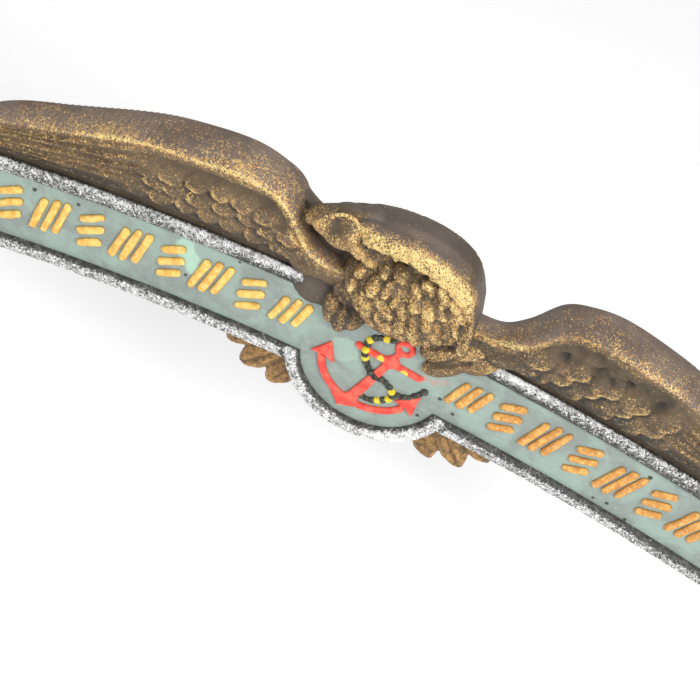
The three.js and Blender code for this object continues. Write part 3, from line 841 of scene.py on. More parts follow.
def covert_relief(side, x, up):
    """How far the short feathers stand out at a place, how near it is to a feather's tip, and
    how deep it lies in the gap round one, which the wing darkens as painted shade."""
    across_r, along_r = COVERTS_BY_SIDE[side]["radii"]
    rise, tip, gap = 0.0, 0.0, 0.0
    for centre_x, centre_up, seed in COVERTS[side]:
        dx, dy = x - centre_x, up - centre_up
        if abs(dx) > 10.5 or abs(dy) > 10.5:
            continue
        turn = COVERT_TURN + 0.3 * math.sin(seed * 2.1)
        along = dx * math.sin(turn) - dy * math.cos(turn)
        across = dx * math.cos(turn) + dy * math.sin(turn)
        reach = math.hypot(across / across_r, along / along_r)
        if reach < 1:
            leaning = 0.4 + 0.6 * (along / along_r + 1) / 2
            edge = (1 - reach ** 4) ** 0.5
            here = COVERTS_BY_SIDE[side]["rise"] * leaning * edge
            here -= 0.25 * math.exp(-(across / 0.7) ** 2) * edge
            if here > rise:
                rise = here
                tip = max(0.0, along / along_r) * ease(reach, 0.3, 0.8)
                gap = 0.0
        elif reach < 1.5 and along > 0:
            shade = math.exp(-((reach - 1.12) / 0.16) ** 2) * along / along_r
            rise -= 0.5 * shade
            gap = max(gap, shade)
    return rise, tip, gap


def flight_relief(x, way):
    """The long feathers lie one over the next like slats, each with a thin leading edge."""
    wander = 0.5 * noise.noise(Vector((x * 0.035, way * 3, 5)))
    slats = way * FLIGHT_FEATHERS + 0.9 * (x - FLIGHT_START_X) / 90 + wander
    share = slats - math.floor(slats)
    slat = ease(share, 0, 0.8) * (1 - ease(share, 0.86, 1.0))
    barbs = 0.12 * noise.noise(Vector((x * 0.12, slats * 9, 1)))
    return 1.1 * slat + barbs, ease(share, 0.55, 0.8) * (1 - ease(share, 0.9, 1.0))


def ridge_gold(side, x, away, ragged):
    """How much gold the brush left along the leading edge, by the distance from its ridge."""
    if away > 9:
        return 0.0
    thin = math.exp(-(away / (1.7 + 0.9 * ragged)) ** 2)
    broad = math.exp(-(away / (3.6 + 1.6 * ragged)) ** 2)
    if side > 0:
        open_out = ease(x, 50, 64)
        return 0.36 * thin * (1 - open_out) + (0.1 + (0.17 - 0.1 * ease(x, 88, 108)) * open_out) * broad
    rib = 1 - ease(x, 52, 62)
    faint = 1 - 0.5 * ease(x, 110, 150)
    return (0.3 * thin * (1 - rib) + (0.2 + 0.18 * rib) * broad) * faint


def cut_flat_back(bm, out, finish):
    """Cuts a piece off a little in front of the wall and closes it with a flat, plain back."""
    bmesh.ops.bisect_plane(bm, geom=bm.verts[:] + bm.edges[:] + bm.faces[:],
                           plane_co=(0, -out * MM, 0), plane_no=(0, 1, 0), clear_outer=True)
    open_edges = [edge for edge in bm.edges if edge.is_boundary]
    backs = bmesh.ops.holes_fill(bm, edges=open_edges, sides=0)["faces"]
    bmesh.ops.recalc_face_normals(bm, faces=bm.faces)
    if backs[0].normal.y < 0:
        bmesh.ops.reverse_faces(bm, faces=bm.faces)
    for edge in open_edges:
        edge.smooth = False
    for face in backs:
        for vertex in face.verts:
            for layer, value in finish.items():
                vertex[layer] = value


def wing(name, side):
    columns, rows = 280, 150
    sections = []
    for column in range(columns + 1):
        x = WING_INNER_X + (WING_TIP_X - WING_INNER_X) * column / columns
        sections.append((x, wing_section(side, x)))
    bm = bmesh.new()
    gilding, wall_tone, wash_and_shade = [bm.verts.layers.float.new(layer) for layer in FINISH_LAYERS]
    sheet = bmesh.ops.create_grid(bm, x_segments=columns, y_segments=rows, size=0.5)["verts"]
    shares = [(vertex.co.x + 0.5, vertex.co.y + 0.5) for vertex in sheet]
    for vertex, (along, across) in zip(sheet, shares):
        x, section = sections[round(along * columns)]
        point = smooth_run(section, across)
        vertex.co = at(side * x, point.y, max(point.z, 0))
    bm.normal_update()
    if sum(face.normal.y for face in bm.faces) > 0:
        bmesh.ops.reverse_faces(bm, faces=bm.faces)
        bm.normal_update()
    stations = len(sections[0][1]) - 1
    moves = []
    for vertex, (along, across) in zip(sheet, shares):
        station = across * stations
        spot_mm = vertex.co / MM
        x, up, out = side * spot_mm.x, spot_mm.z, -spot_mm.y
        front = wing_foot(x)
        way = (up - front) / max(profile(WING_RIDGE[side], x) - front, 1)
        on_front = ease(station, 1.8, 2.3) * (1 - ease(station, 5.4, 5.9))
        outer = ease(x, FLIGHT_START_X, FLIGHT_START_X + 16)
        seed = Vector((side * 31, 0, 0))
        # painted shade: the wing's lower front, by the groove above the rim, is darkened and loses gold
        foot_shade = ease(way, 0.26, 0.04)
        move, gold, dark = 0.0, 0.0, 0.0
        if on_front > 0:
            short, short_tip, gap = covert_relief(side, x, up) if outer < 1 else (0, 0, 0)
            long, long_tip = flight_relief(x, way) if outer > 0 else (0, 0)
            lumpy = noise.noise(spot_mm * 0.16 + seed) + 0.6 * noise.noise(spot_mm * 0.4 + seed)
            rough = 0.6 if side < 0 else 0.6 + 0.7 * ease(way, 0.3, 0.6)
            move += on_front * ((short + rough * lumpy) * (1 - outer) + long * outer)
            gold += on_front * (0.13 + (0.44 * short_tip + 0.1 * short - 0.1 * gap) * (1 - outer)
                                + (0.14 * long_tip + 0.06) * outer - 0.12 * foot_shade)
            # painted shade, over a little wash: darker in the dips between lumps and the gaps round the
            # short feathers
            dark += on_front * ((0.08 if side < 0 else 0.26) - 0.12 * lumpy
                                + 0.75 * gap * (1 - outer) + 0.8 * foot_shade)
        # pits pressed into the right wing, with painted shade in them
        if side > 0:
            for pit_x, pit_up, radius in PITS:
                crooked = noise.noise(spot_mm * 0.25) * 3
                from_pit = ((x - pit_x + crooked) / 1.3) ** 2 + (up - pit_up - 0.3 * (x - pit_x)) ** 2
                pit = math.exp(-from_pit / radius ** 2) * on_front
                move -= 2.2 * pit
                gold -= 0.5 * pit
                dark += 0.9 * pit
        # a hollow below the ridge, pressed in and given painted shade
        hollow = math.exp(-((way - 0.86) / 0.07) ** 2) * ease(x, 48, 60) * (1 - ease(x, 92, 125))
        if 2 < station < RIDGE_STATION:
            move -= 1.3 * hollow * (0.7 + 0.5 * noise.noise(spot_mm * 0.12 + seed))
            gold -= 0.15 * hollow
            dark += 0.3 * hollow
        ridge = profile(WING_RIDGE[side], x), profile(RIDGE_HEIGHT, x)
        away = math.hypot(up - ridge[0] - 0.4, (out - ridge[1]) * 0.8)
        gold += ridge_gold(side, x, away, noise.noise(spot_mm * 0.1 + seed))
        back = 0.0
        if station > RIDGE_STATION:
            back = ease(station, RIDGE_STATION, RIDGE_STATION + 0.4)
            gold += back * ((0.3 if side < 0 else 0.26) + 0.14 * noise.noise(spot_mm * 0.05 + seed))
            gold -= 0.2 * back * ease(station, RIDGE_STATION + 2.6, stations)
            carved = ease(x, 104, 112) * (1 - ease(x, 152, 166))
            move += back * 0.16 * carved * math.sin(x * 2 * math.pi / 2.3 + up * 0.5)
        # painted shade: the groove below the wing is dark and all but ungilded
        if station < 2:
            gold, dark = 0.04, 0.62
        grit = noise.noise(spot_mm * 1.1 + seed) * 0.07 + noise.noise(spot_mm * 0.35 + seed) * 0.14
        if out > 0.5:
            move += grit
        if station > RIDGE_STATION:
            move = min(move, 0.1)
        moves.append((vertex, vertex.normal.copy(), move))
        vertex[gilding] = min(MOST_GOLD, max(0, gold))
        vertex[wall_tone] = back
        vertex[wash_and_shade] = min(1, max(0, dark))
    for vertex, normal, move in moves:
        vertex.co += normal * move * MM
        vertex.co.y = max(vertex.co.y, cad_low.y)
    rim_edges = [edge for edge in bm.edges if edge.is_boundary]
    walls = bmesh.ops.extrude_edge_only(bm, edges=rim_edges)["geom"]
    for item in walls:
        if isinstance(item, bmesh.types.BMVert):
            item.co.y = MM
    bmesh.ops.remove_doubles(bm, verts=bm.verts, dist=0.01 * MM)
    cut_flat_back(bm, WING_BACK, {gilding: 0, wall_tone: 1, wash_and_shade: 0})
    return finish_piece(name, bm, [bronze])


def bronze_material():
    """Brown enamel, greyer on the walls and darkened by a wash with painted shade in grooves, gaps,
    hollows and under the bird, with gold dragged over it, as heavy as the gilding attribute says."""
    material, tree, shader = new_material("gilded bronze")
    place = object_place(tree)
    cover, wall, wash_and_shade = [node(tree, "ShaderNodeAttribute", attribute_name=layer).outputs["Fac"]
                         for layer in FINISH_LAYERS]
    flecks = put_group(tree, dry_brush, {"Cover": cover, "Scale": 1400.0, "Softness": 0.06})
    clouds = node(tree, "ShaderNodeTexNoise", {"Vector": place, "Scale": 60.0, "Detail": 5.0})
    cloud = smooth_step(tree, clouds.outputs[0], 0.38, 0.62)
    front = mix_colour(tree, cloud, rgb(84, 68, 46), rgb(108, 88, 62))
    back = mix_colour(tree, cloud, rgb(98, 84, 74), rgb(116, 102, 92))
    base = mix_colour(tree, wall, front, back)
    # painted shade and wash: the enamel darkens towards a dark brown as the attribute says
    base = mix_colour(tree, wash_and_shade, base, rgb(50, 44, 36))
    gold = mix_colour(tree, smooth_step(tree, flecks.outputs["Tone"], 0.4, 0.6),
                      rgb(204, 154, 92), rgb(232, 194, 122))
    bright = smooth_step(tree, cover, 0.45, 0.8)
    gold = mix_colour(tree, bright, gold, rgb(255, 230, 154))
    colour = mix_colour(tree, flecks.outputs["Flecks"], base, gold)
    tree.links.new(colour, shader.inputs["Base Color"])
    metal = math_node(tree, "MULTIPLY", flecks.outputs["Flecks"], 0.2)
    tree.links.new(metal, shader.inputs["Metallic"])
    rough = node(tree, "ShaderNodeMapRange", {0: flecks.outputs["Flecks"], 3: 0.58, 4: 0.42})
    tree.links.new(rough.outputs[0], shader.inputs["Roughness"])
    grain = put_group(tree, cast_grain, {"Fine": 1500.0, "Coarse": 520.0})
    add_bump(tree, shader, grain.outputs["Height"], 0.7, 0.0006)
    return material


bronze = bronze_material()
wing("left_wing", -1)
wing("right_wing", 1)


# ---- eagle -------------------------------------------------------------------------------
# The bird is the casting's thickest part: a smooth back, a shaggy mantle from the nape to the
# far shoulder, a breast of clumped feathers, a head turned to the left, and two feet on the board.

BACK = ((-2.4, 46, 0), (30.2, 30, 17))
BREAST_CENTRE = (-0.6, 46.8, 9.5)
BREAST_RADII = (27, 18.4, 15.4)
HEAD = ((-32.5, 65, 11.6), (10.8, 7.5, 11.6))
NAPE = ((-21, 65.4, 8), (12, 8.6, 12))
HOLLOW = ((8, 60.5, 10.5), (17, 8, 9.6))
MANTLE_SPINE = [(-30.6, 69.4, 14.4), (-20, 70.8, 16.8), (-10, 72.2, 17.6), (0, 72, 17.4),
                (9, 69.6, 16.8), (16.5, 64.6, 15.4), (21.6, 57.6, 13), (23.6, 51, 11)]
MANTLE_GIRTH = [(0, 4.4), (0.4, 4.7), (0.7, 4.8), (0.86, 4.2), (1, 3.4)]
JAW_SPINE = [(-46, 65.8, 17), (-43, 66, 17.6), (-38, 65.8, 18), (-31, 65, 18), (-25, 63.2, 17.4),
             (-20, 60.2, 16.6), (-15.5, 56.5, 15.6)]
JAW_GIRTH = [(0, 2.4), (0.2, 3.8), (0.45, 4.4), (1, 3.6)]
BEAK_SPINE = [(-37, 67, 14), (-42.5, 66.4, 14.2), (-46, 64.2, 14.4), (-46.8, 60.2, 14.4)]
BEAK_GIRTH = [(0, 5), (0.5, 4.2), (0.8, 2.6), (1, 0.6)]
BACK_LINE = [(-27, 64), (-28, 70.8), (-18, 75), (-6.5, 76.6), (4, 76), (13, 73.2),
             (19.5, 68), (24, 60.5), (27.2, 51.5), (29, 43), (29, 32)]
BACK_DEPTH = 12.5
CROWN_LINE = [(-50, 54.5), (-46.4, 59.8), (-38, 65.4), (-29.5, 70.4), (-22, 72.6)]
CROWN_DEPTH = 9
SHOULDER_LINE = [(-28, 70.8), (-18, 75), (-6.5, 76.6), (4, 76), (13, 73.2), (19.5, 68), (24, 60.5),
                 (27.2, 51.5), (29, 43), (29, 35), (25, 36), (25, 44), (23.4, 51), (20, 59),
                 (16, 65), (9, 69.6), (0, 72), (-10, 72.2), (-20, 70.8), (-26, 69)]
SHOULDER_DEPTH = 17
SHOULDER_LOCKS = [(11.5, 61.5, 19.6, 0.5), (17, 58, 18.2, 0.7), (20.5, 52.5, 16.4, 0.4),
                  (23, 46.5, 14, 0.2), (23.6, 43, 12, 0.1), (5, 62, 19, 0.9)]
BROW_SPINE = [(-40.4, 66.4, 19.4), (-39.6, 69, 17.6), (-37.6, 71.2, 15.6), (-34, 72.2, 15),
              (-30.6, 72, 15.4), (-28.6, 71, 17.4), (-28, 69, 19)]
BROW_GIRTH = [(0, 0.7), (0.5, 1.0), (1, 0.9)]
THIGH_RADII = (8.8, 10.5, 9)
LEFT_TOES = [(-25.4, 21.6, 9.2), (-20, 19.2, 9.4), (-15.2, 21.4, 8.2)]
RIGHT_FOLDS = [((21.6, 30, 8.6), (12.5, 6.2, 6.2), 0.95), ((25.6, 19.4, 7.2), (11.4, 5.2, 4.6), 0.8),
               ((36, 28, 7), (10, 6.5, 4.4), 0.6), ((30, 33, 7.4), (10, 8, 5), 0.6)]
RIGHT_FLANK = ((18.5, 41.5, 9), (9.5, 10.5, 9))
LEFT_FILLER = ((-34.6, 26.5, 4.8), (11.4, 10.6, 4.8))
WEB_HEIGHT = 6.5
EAGLE_BACK = 0.24


def swept(bm, spine, girth, flatness, rings=28, around=20):
    """A round-ended tube along a spine, each ring as wide as the girth says, taller by flatness."""
    start = bmesh.ops.create_uvsphere(bm, u_segments=around, v_segments=rings, radius=1)["verts"]
    for vertex in start:
        share = (1 - vertex.co.z) / 2
        centre = smooth_run(spine, share)
        ahead = smooth_run(spine, min(1, share + 0.02)) - smooth_run(spine, max(0, share - 0.02))
        way = Vector((ahead.x, ahead.y, 0)).normalized()
        rounding = math.sqrt(max(0, 1 - vertex.co.z ** 2))
        scale = min(1, rounding * 1.6) / max(rounding, 1e-6)
        width = profile(girth, share) * scale
        aside = vertex.co.x * width
        out = vertex.co.y * width * flatness
        vertex.co = at(centre.x - way.y * aside, centre.y + way.x * aside, centre.z - out)
    bmesh.ops.recalc_face_normals(bm, faces=bm.faces)


def breast_height(x, up):
    across = (x - BREAST_CENTRE[0]) / BREAST_RADII[0]
    along = (up - BREAST_CENTRE[1]) / BREAST_RADII[1]
    inside = max(0, 1 - across ** 2 - along ** 2)
    return BREAST_CENTRE[2] + BREAST_RADII[2] * math.sqrt(inside)


def breast_normal(x, up):
    """The way the breast faces at a place, in the plaque's frame."""
    out = breast_height(x, up) - BREAST_CENTRE[2]
    across, along = x - BREAST_CENTRE[0], up - BREAST_CENTRE[1]
    return Vector((across / BREAST_RADII[0] ** 2, -out / BREAST_RADII[2] ** 2,
                   along / BREAST_RADII[1] ** 2)).normalized()


def clump(bm, centre, facing, radii, spin, tilt):
    """A lock of feathers lying on a surface that faces that way, its lower tip standing free."""
    ball = bmesh.ops.create_uvsphere(bm, u_segments=16, v_segments=12, radius=1)["verts"]
    upward = (Vector((0, 0, 1)) - facing * facing.z).normalized()
    across = upward.cross(-facing)
    lying = Matrix((across, -facing, upward)).transposed().to_4x4()
    sized = Matrix.Diagonal((radii[0] * MM, radii[2] * MM, radii[1] * MM, 1))
    placing = Matrix.Translation(centre) @ lying @ Matrix.Rotation(spin, 4, "Y") @ \
        Matrix.Rotation(tilt, 4, "X") @ sized
    bmesh.ops.transform(bm, matrix=placing, verts=ball)


def breast_clumps(bm):
    """Long locks fan down from the throat in staggered rows, and more cover the shoulder."""
    for row in range(5):
        count = 9 - row % 2
        for number in range(count):
            aside = number - (count - 1) / 2
            x = BREAST_CENTRE[0] + aside * (5.9 - 0.35 * row) + 1.0 * math.sin(row * 5 + number * 2)
            up = 61 - row * 6.2 - 0.16 * abs(aside) ** 1.8 + 1.6 * math.sin(number * 3 + row)
            if breast_height(x, up) > BREAST_CENTRE[2] + 2:
                facing = breast_normal(x, up)
                centre = at(x, up, breast_height(x, up)) - facing * 0.7 * MM
                spin = 0.5 + aside * 0.06 + 0.35 * math.sin(number * 7 + row * 3)
                uneven = 1 + 0.3 * math.sin(number * 4.7 + row * 2.9)
                clump(bm, centre, facing, (2.7 * uneven, 5.4, 2.2 * uneven), spin, -0.24)
    for x, up, out, turn in SHOULDER_LOCKS:
        lump(bm, (x, up, out), (2.8, 5.0, 3.0), turn, 0.2)


def mantle_tufts(bm):
    """Short ragged tufts break the mantle's lower lip."""
    for number in range(11):
        centre = smooth_run(MANTLE_SPINE, 0.1 + 0.08 * number)
        turn = 0.13 * number - 0.9
        uneven = 0.6 * math.sin(number * 2.4)
        lump(bm, (centre.x + 0.6, centre.y - 1.0 + uneven, centre.z + 3.4), (3.2, 3.8, 2.1), turn,
             0.2, 14, 10)


def feet(bm):
    """Feathered thighs; on the left three toes close together, on the right a foot that lies
    along the board in long folds up to the wing's root."""
    for side in (-1, 1):
        lump(bm, (side * 20.5, 40 + 3 * side, 7), THIGH_RADII, side * 0.25, 0, 24, 16)
    lump(bm, *RIGHT_FLANK)
    for number, (x, up, reach) in enumerate(LEFT_TOES):
        spread = -0.14 * (number - 1)
        lump(bm, (x, up, FIELD_HEIGHT - 0.5), (4.3, reach, 5.4), spread)
        lump(bm, (x, up + 4, FIELD_HEIGHT + 1), (4.3, reach * 0.7, 6.2), spread)
    for centre, radii, turn in RIGHT_FOLDS:
        lump(bm, centre, radii, turn, 0, 26, 18)
    lump(bm, *LEFT_FILLER)


def drawn_line(points, steps):
    """The smooth curve through a few points of an outline, as closely spaced points."""
    solid_points = [(x, up, 0) for x, up in points]
    return [tuple(smooth_run(solid_points, step / steps).xy) for step in range(steps + 1)]


def web_outline():
    curve = []
    for step in range(13):
        share = step / 12
        x = (1 - share) ** 2 * -43 + 2 * share * (1 - share) * -49 + share ** 2 * -57
        up = (1 - share) ** 2 * 59.5 + 2 * share * (1 - share) * 61.5 + share ** 2 * 68.5
        curve.append((x, up))
    return [(-20, 30), (-20, 64)] + curve + [(-62, 30)]


bm = bmesh.new()
lump(bm, *BACK, around=64, down=40)
lump(bm, BREAST_CENTRE, BREAST_RADII, around=56, down=36)
lump(bm, *HEAD, 0.15, 0, 40, 26)
lump(bm, *NAPE, -0.3, 0, 32, 20)
lump(bm, *HOLLOW, -0.5, 0, 32, 20)
swept(bm, MANTLE_SPINE, MANTLE_GIRTH, 1.3)
swept(bm, JAW_SPINE, JAW_GIRTH, 1.0)
swept(bm, BEAK_SPINE, BEAK_GIRTH, 1.2)
swept(bm, BROW_SPINE, BROW_GIRTH, 1.0, 16, 10)
breast_clumps(bm)
mantle_tufts(bm)
feet(bm)
for line, base, depth in ((BACK_LINE, (-20, 32), BACK_DEPTH), (CROWN_LINE, (-22, 60), CROWN_DEPTH)):
    front_edges = slab(bm, drawn_line(line, 60) + [base], 0, depth)
    bmesh.ops.bevel(bm, geom=front_edges, offset=3 * MM, segments=4, profile=0.5,
                    affect="EDGES", material=-1)
shoulder_edges = slab(bm, drawn_line(SHOULDER_LINE, 120), 0, SHOULDER_DEPTH)
bmesh.ops.bevel(bm, geom=shoulder_edges, offset=1.2 * MM, segments=3, profile=0.5,
                affect="EDGES", material=-1)
slab(bm, web_outline(), 0, WEB_HEIGHT)
bm = melt(bm, 0.5, 2)

# Tool marks pressed into the pattern before it was cast, as (run, reach, depth).
GROOVES = [
    ([(-38, 67.4, 21), (-35.4, 69, 20.4), (-32, 69.4, 20)], 2.4, 0.8),
    ([(-19, 65, 19), (-12, 66.6, 20), (-4, 67, 20), (1, 66, 20)], 2.0, 1.5),
    ([(-31, 76, 16), (-29.4, 73.4, 19), (-27.4, 69.6, 20.6), (-23, 66, 20)], 1.4, 0.8),
    ([(-24, 34, 14), (-16, 29.5, 15), (-6, 27.5, 15), (4, 27, 15), (14, 29, 15),
      (24, 34, 14)], 2.0, 1.4),
    ([(13, 17.5, 9), (19, 19, 11.5), (26, 22.5, 12), (33, 28, 11)], 1.2, 1.4),
]


def near_run(run, place, reach):
    """1 on the smooth run, fading with distance from it."""
    low = Vector([min(point[axis] for point in run) - 3 * reach for axis in range(3)])
    high = Vector([max(point[axis] for point in run) + 3 * reach for axis in range(3)])
    if any(place[axis] < low[axis] or place[axis] > high[axis] for axis in range(3)):
        return 0.0
    nearest = min((smooth_run(run, step / 40) - place).length_squared for step in range(41))
    return math.exp(-nearest / reach ** 2)


def standing_out(bm, passes):
    """How far each vertex stands out from the same surface smoothed so many times, in mm."""
    bm.normal_update()
    blurred = bm.copy()
    for _ in range(passes):
        bmesh.ops.smooth_vert(blurred, verts=blurred.verts, factor=0.5,
                              use_axis_x=True, use_axis_y=True, use_axis_z=True)
    reliefs = [(vertex.co - soft.co).dot(vertex.normal) / MM
               for vertex, soft in zip(bm.verts, blurred.verts)]
    blurred.free()
    return reliefs


GILDED_RUNS = [
    ([(-24.4, 71.8, 20), (-20, 73.4, 21.6), (-12.6, 75, 21.6), (-4.6, 75.6, 21.4),
      (3.6, 74.4, 21), (11, 70.8, 20.6), (16.4, 67, 19), (20.4, 63, 17)], 5.0, 0.42),
    ([(-46, 64.5, 20.5), (-38, 62.6, 21), (-31, 62, 21.5), (-25, 61, 21.5), (-19, 58.6, 21.5),
      (-14, 57, 22)], 1.2, 0.1),
    ([(-47, 66, 20), (-46, 65.4, 20)], 1.6, 0.25),
    (BROW_SPINE, 1.6, 0.25),
]

fine_relief = standing_out(bm, 14)
broad_relief = standing_out(bm, 54)
gilding, wall_tone, wash_and_shade = [bm.verts.layers.float.new(layer) for layer in FINISH_LAYERS]
bm.verts.ensure_lookup_table()
moves = []
for vertex in bm.verts:
    place = Vector((vertex.co.x, vertex.co.z, -vertex.co.y)) / MM
    normal = vertex.normal
    convex, swell = fine_relief[vertex.index], broad_relief[vertex.index]
    facing = max(0, -normal.y)
    top = max(0, normal.z)
    feathered = ease(facing, 0.25, 0.6) * ease(place.z, 10, 14) * ease(place.x, -30, -25)
    move = (0.12 + 0.2 * feathered) * noise.noise(place * 0.9)
    move += (0.2 + 0.6 * feathered) * noise.noise(place * 0.34) * facing
    across, along = place.x * 0.83 + place.y * 0.56, place.x * 0.56 - place.y * 0.83
    vein = abs(noise.noise(Vector((across * 0.42, along * 0.17, place.z * 0.15))))
    move -= feathered * 0.7 * (1 - ease(vein, 0.0, 0.13))
    pressed = 0.0
    for run, reach, depth in GROOVES:
        pressed += depth * near_run(run, place, reach)
    outwards = math.hypot((place.x - BACK[0][0]) / BACK[1][0], (place.y - BACK[0][1]) / BACK[1][1])
    back = ease(max(top, normal.x), 0.66, 0.92) * ease(outwards, 0.86, 0.93)
    back *= max(ease(place.x, -31, -25), ease(place.z, 11, 8))
    gold = 0.14 + 0.8 * convex + 0.07 * swell + 0.24 * facing - 0.12 * back + 0.05 * feathered
    gold += 0.12 * noise.noise(place * 0.12)
    # the pressed grooves lose gold and below gain painted shade
    gold -= 0.3 * pressed
    for run, reach, amount in GILDED_RUNS:
        gold += amount * near_run(run, place, reach)
    # painted shadow: low on the left, under the breast and the head, with less gold and darker
    low_left_shadow = ease(place.x, -7, -12) * ease(place.y, 38, 32) * ease(place.z, 18, 15)
    low_left_shadow = max(low_left_shadow, ease(place.x, -21, -25) * ease(place.z, 18, 14) * ease(place.y, 56, 50))
    gold -= 0.14 * low_left_shadow
    low_right = ease(place.x, 16, 22) * ease(place.y, 26, 20) * ease(place.z, 13, 11)
    filler = ease(place.x, -27, -30) * ease(place.z, 12, 10)
    gold -= 0.22 * low_right + 0.3 * filler
    # painted shade, over a little wash: darker in concave places, pressed grooves, the low left and
    # next to the board
    dark = 0.1 - 0.2 * filler - 0.3 * swell - 1.1 * convex + 0.35 * low_left_shadow + 0.32 * pressed
    dark += ease(place.z, 11, 8) * 0.4 * ease(place.x, 30, 20)
    if place.z < WEB_HEIGHT + 1:
        gold = 0.03
    moves.append((vertex, normal.copy(), move - pressed))
    vertex[gilding] = min(MOST_GOLD, max(0, gold))
    vertex[wall_tone] = max(back, 0.7 * filler)
    vertex[wash_and_shade] = min(1, max(0, dark))
for vertex, normal, move in moves:
    vertex.co += normal * move * MM
    vertex.co.y = max(vertex.co.y, cad_low.y)
    vertex.co.z = min(vertex.co.z, cad_high.z)
cut_flat_back(bm, EAGLE_BACK, {gilding: 0, wall_tone: 1, wash_and_shade: 0})
eagle = finish_piece("eagle", bm, [bronze])


# ---- tail feathers -----------------------------------------------------------------------
# Three stub feathers of the tail fan show below the board on each side of the medallion,
# round-tipped on the left and more pointed on the right. Ochre over the iron, with a light wash
# and painted shade in its creases.

FAN_CENTRE = (0, 30)
TAIL_TIPS = [(60.4, 77), (51.4, 82), (42.2, 81.5)]
TAIL_WIDTH = 12.4
TAIL_ROOT = 38
TAIL_THICKNESS = 5
TAIL_BACK = 0.36


def tail_feather(bm, side, degrees, reach):
    """A blade with a crowned face, laid from the fan's centre outwards."""
    fullness = 0.8 if side < 0 else 0.45
    turn = side * (UP - math.radians(degrees)) + math.pi
    outline_turn = Matrix.Rotation(turn, 2)

    def place(along, across):
        distance = TAIL_ROOT + (reach - TAIL_ROOT) * along
        to_tip = (reach - distance) / (TAIL_WIDTH * 0.62)
        width = TAIL_WIDTH / 2 * min(1, max(0, to_tip)) ** (0.5 + 0.45 * (1 - fullness))
        aside = (across * 2 - 1)
        crown = max(0.0, 1 - abs(aside) ** 2.6) ** 0.5
        height = TAIL_THICKNESS * (0.35 + 0.65 * crown) * min(1, 0.3 + 0.9 * max(0, to_tip) ** 0.5)
        height -= 0.9 * math.exp(-(aside / 0.12) ** 2) * min(1, to_tip)
        height += 0.9 * noise.noise(Vector((aside * 2.6, distance * 0.1, degrees)))
        flat = outline_turn @ Vector((aside * width, distance))
        return at(FAN_CENTRE[0] + flat.x, FAN_CENTRE[1] + flat.y, height)

    before = len(bm.verts)
    skin(bm, 44, 26, place)
    bm.verts.ensure_lookup_table()
    new_verts = bm.verts[before:]
    edges = {edge for vertex in new_verts for edge in vertex.link_edges if edge.is_boundary}
    made = bmesh.ops.extrude_edge_only(bm, edges=list(edges))["geom"]
    for item in made:
        if isinstance(item, bmesh.types.BMVert):
            item.co.y = 0
    rim_edges = [item for item in made if isinstance(item, bmesh.types.BMEdge) and item.is_boundary]
    bmesh.ops.holes_fill(bm, edges=rim_edges, sides=0)


def tail_material():
    material, tree, shader = new_material("tail ochre")
    place = object_place(tree)
    flecks = put_group(tree, dry_brush, {"Cover": 0.5, "Scale": 480.0, "Softness": 0.12})
    clouds = node(tree, "ShaderNodeTexNoise", {"Vector": place, "Scale": 300.0, "Detail": 5.0})
    base = mix_colour(tree, smooth_step(tree, clouds.outputs[0], 0.36, 0.6),
                      rgb(98, 76, 46), rgb(132, 102, 60))
    colour = mix_colour(tree, math_node(tree, "MULTIPLY", flecks.outputs["Flecks"], 0.7), base,
                        rgb(200, 150, 84))
    # painted shade and wash: the creases darken towards dark brown
    wash_and_shade = node(tree, "ShaderNodeAttribute", attribute_name="wash_and_shade").outputs["Fac"]
    colour = mix_colour(tree, wash_and_shade, colour, rgb(58, 46, 32))
    tree.links.new(colour, shader.inputs["Base Color"])
    shader.inputs["Roughness"].default_value = 0.58
    grain = put_group(tree, cast_grain, {"Fine": 1200.0, "Coarse": 400.0})
    add_bump(tree, shader, grain.outputs["Height"], 0.7, 0.0006)
    return material


tail_ochre = tail_material()
bm = bmesh.new()
for side in (-1, 1):
    for degrees, reach in TAIL_TIPS:
        tail_feather(bm, side, degrees, reach)
bm = melt(bm, 0.5, 2)
reliefs = standing_out(bm, 20)
wash_and_shade = bm.verts.layers.float.new("wash_and_shade")
for vertex, relief in zip(bm.verts, reliefs):
    # a light wash all over, with painted shade in the creases
    vertex[wash_and_shade] = min(1, max(0, 0.25 - 1.6 * relief))
    place = vertex.co / MM
    vertex.co += vertex.normal * MM * (0.18 * noise.noise(place * 0.35)
                                       + 0.1 * noise.noise(place * 1.0))
cut_flat_back(bm, TAIL_BACK, {wash_and_shade: 0})
tail = finish_piece("tail_feathers", bm, [tail_ochre])


# ---- floor, light and camera -------------------------------------------------------------
# A plain pale floor below the plaque, soft studio light from both sides, and a camera that
# looks down on it from above its front, rolled so that the plaque runs down to the right.

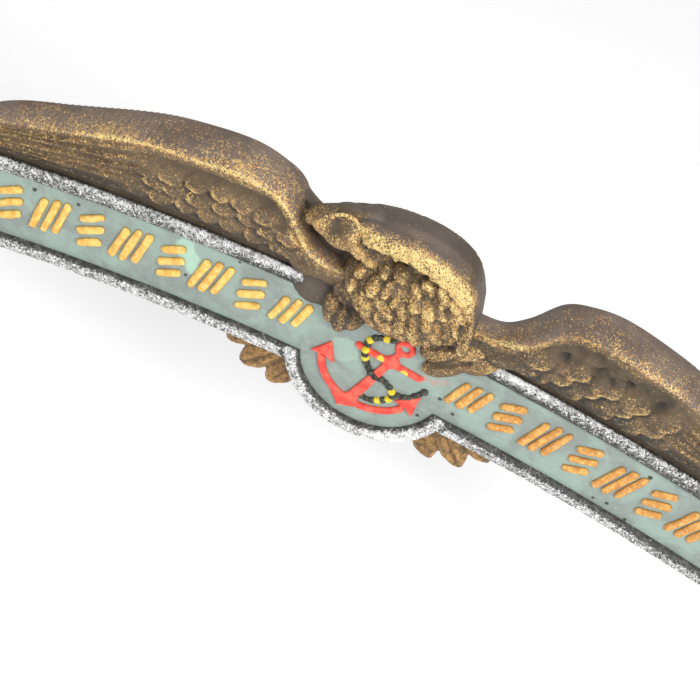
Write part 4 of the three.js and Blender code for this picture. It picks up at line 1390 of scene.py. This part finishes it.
FLOOR_DROP = 0.12
CAMERA_PLACE = Vector((-0.01055, -0.59502, 0.55160))
CAMERA_AXES = ((0.8998, 0.2984, 0.3183), (-0.4363, 0.6133, 0.6585), (0.0013, -0.7314, 0.6820))


def floor_material():
    material, tree, shader = new_material("pale floor")
    shader.inputs["Base Color"].default_value = (0.95, 0.95, 0.95, 1)
    shader.inputs["Roughness"].default_value = 0.9
    shader.inputs["Emission Color"].default_value = (1, 1, 1, 1)
    shader.inputs["Emission Strength"].default_value = 0.12
    return material


bm = bmesh.new()
bmesh.ops.create_grid(bm, x_segments=1, y_segments=1, size=3)
bmesh.ops.translate(bm, verts=bm.verts, vec=(0, 0, cad_low.z - FLOOR_DROP))
floor_mesh = bpy.data.meshes.new("floor")
bm.to_mesh(floor_mesh)
bm.free()
floor = bpy.data.objects.new("floor", floor_mesh)
floor_mesh.materials.append(floor_material())
bpy.context.scene.collection.objects.link(floor)


def soft_light(name, place, size, power):
    light = bpy.data.lights.new(name, "AREA")
    light.size = size
    light.energy = power
    lamp = bpy.data.objects.new(name, light)
    lamp.location = place
    lamp.rotation_euler = (-Vector(place)).to_track_quat("-Z", "Y").to_euler()
    bpy.context.scene.collection.objects.link(lamp)


soft_light("key light", (0.75, -0.8, 0.85), 0.45, 13)
soft_light("fill light", (-0.9, -0.8, 0.5), 1.0, 2.5)
soft_light("top light", (0.0, 0.2, 1.3), 1.2, 5)
world = bpy.data.worlds.new("studio")
world.use_nodes = True
world.node_tree.nodes["Background"].inputs["Color"].default_value = (1, 1, 1, 1)
world.node_tree.nodes["Background"].inputs["Strength"].default_value = 0.5
bpy.context.scene.world = world
bpy.context.scene.view_settings.view_transform = "Standard"

lens = bpy.data.cameras.new("camera")
lens.sensor_width = 36
lens.lens = 102.857
lens.clip_start = 0.01
camera = bpy.data.objects.new("camera", lens)
camera.matrix_world = Matrix.Translation(CAMERA_PLACE) @ \
    Matrix(CAMERA_AXES).transposed().to_4x4()
bpy.context.scene.collection.objects.link(camera)
bpy.context.scene.camera = camera
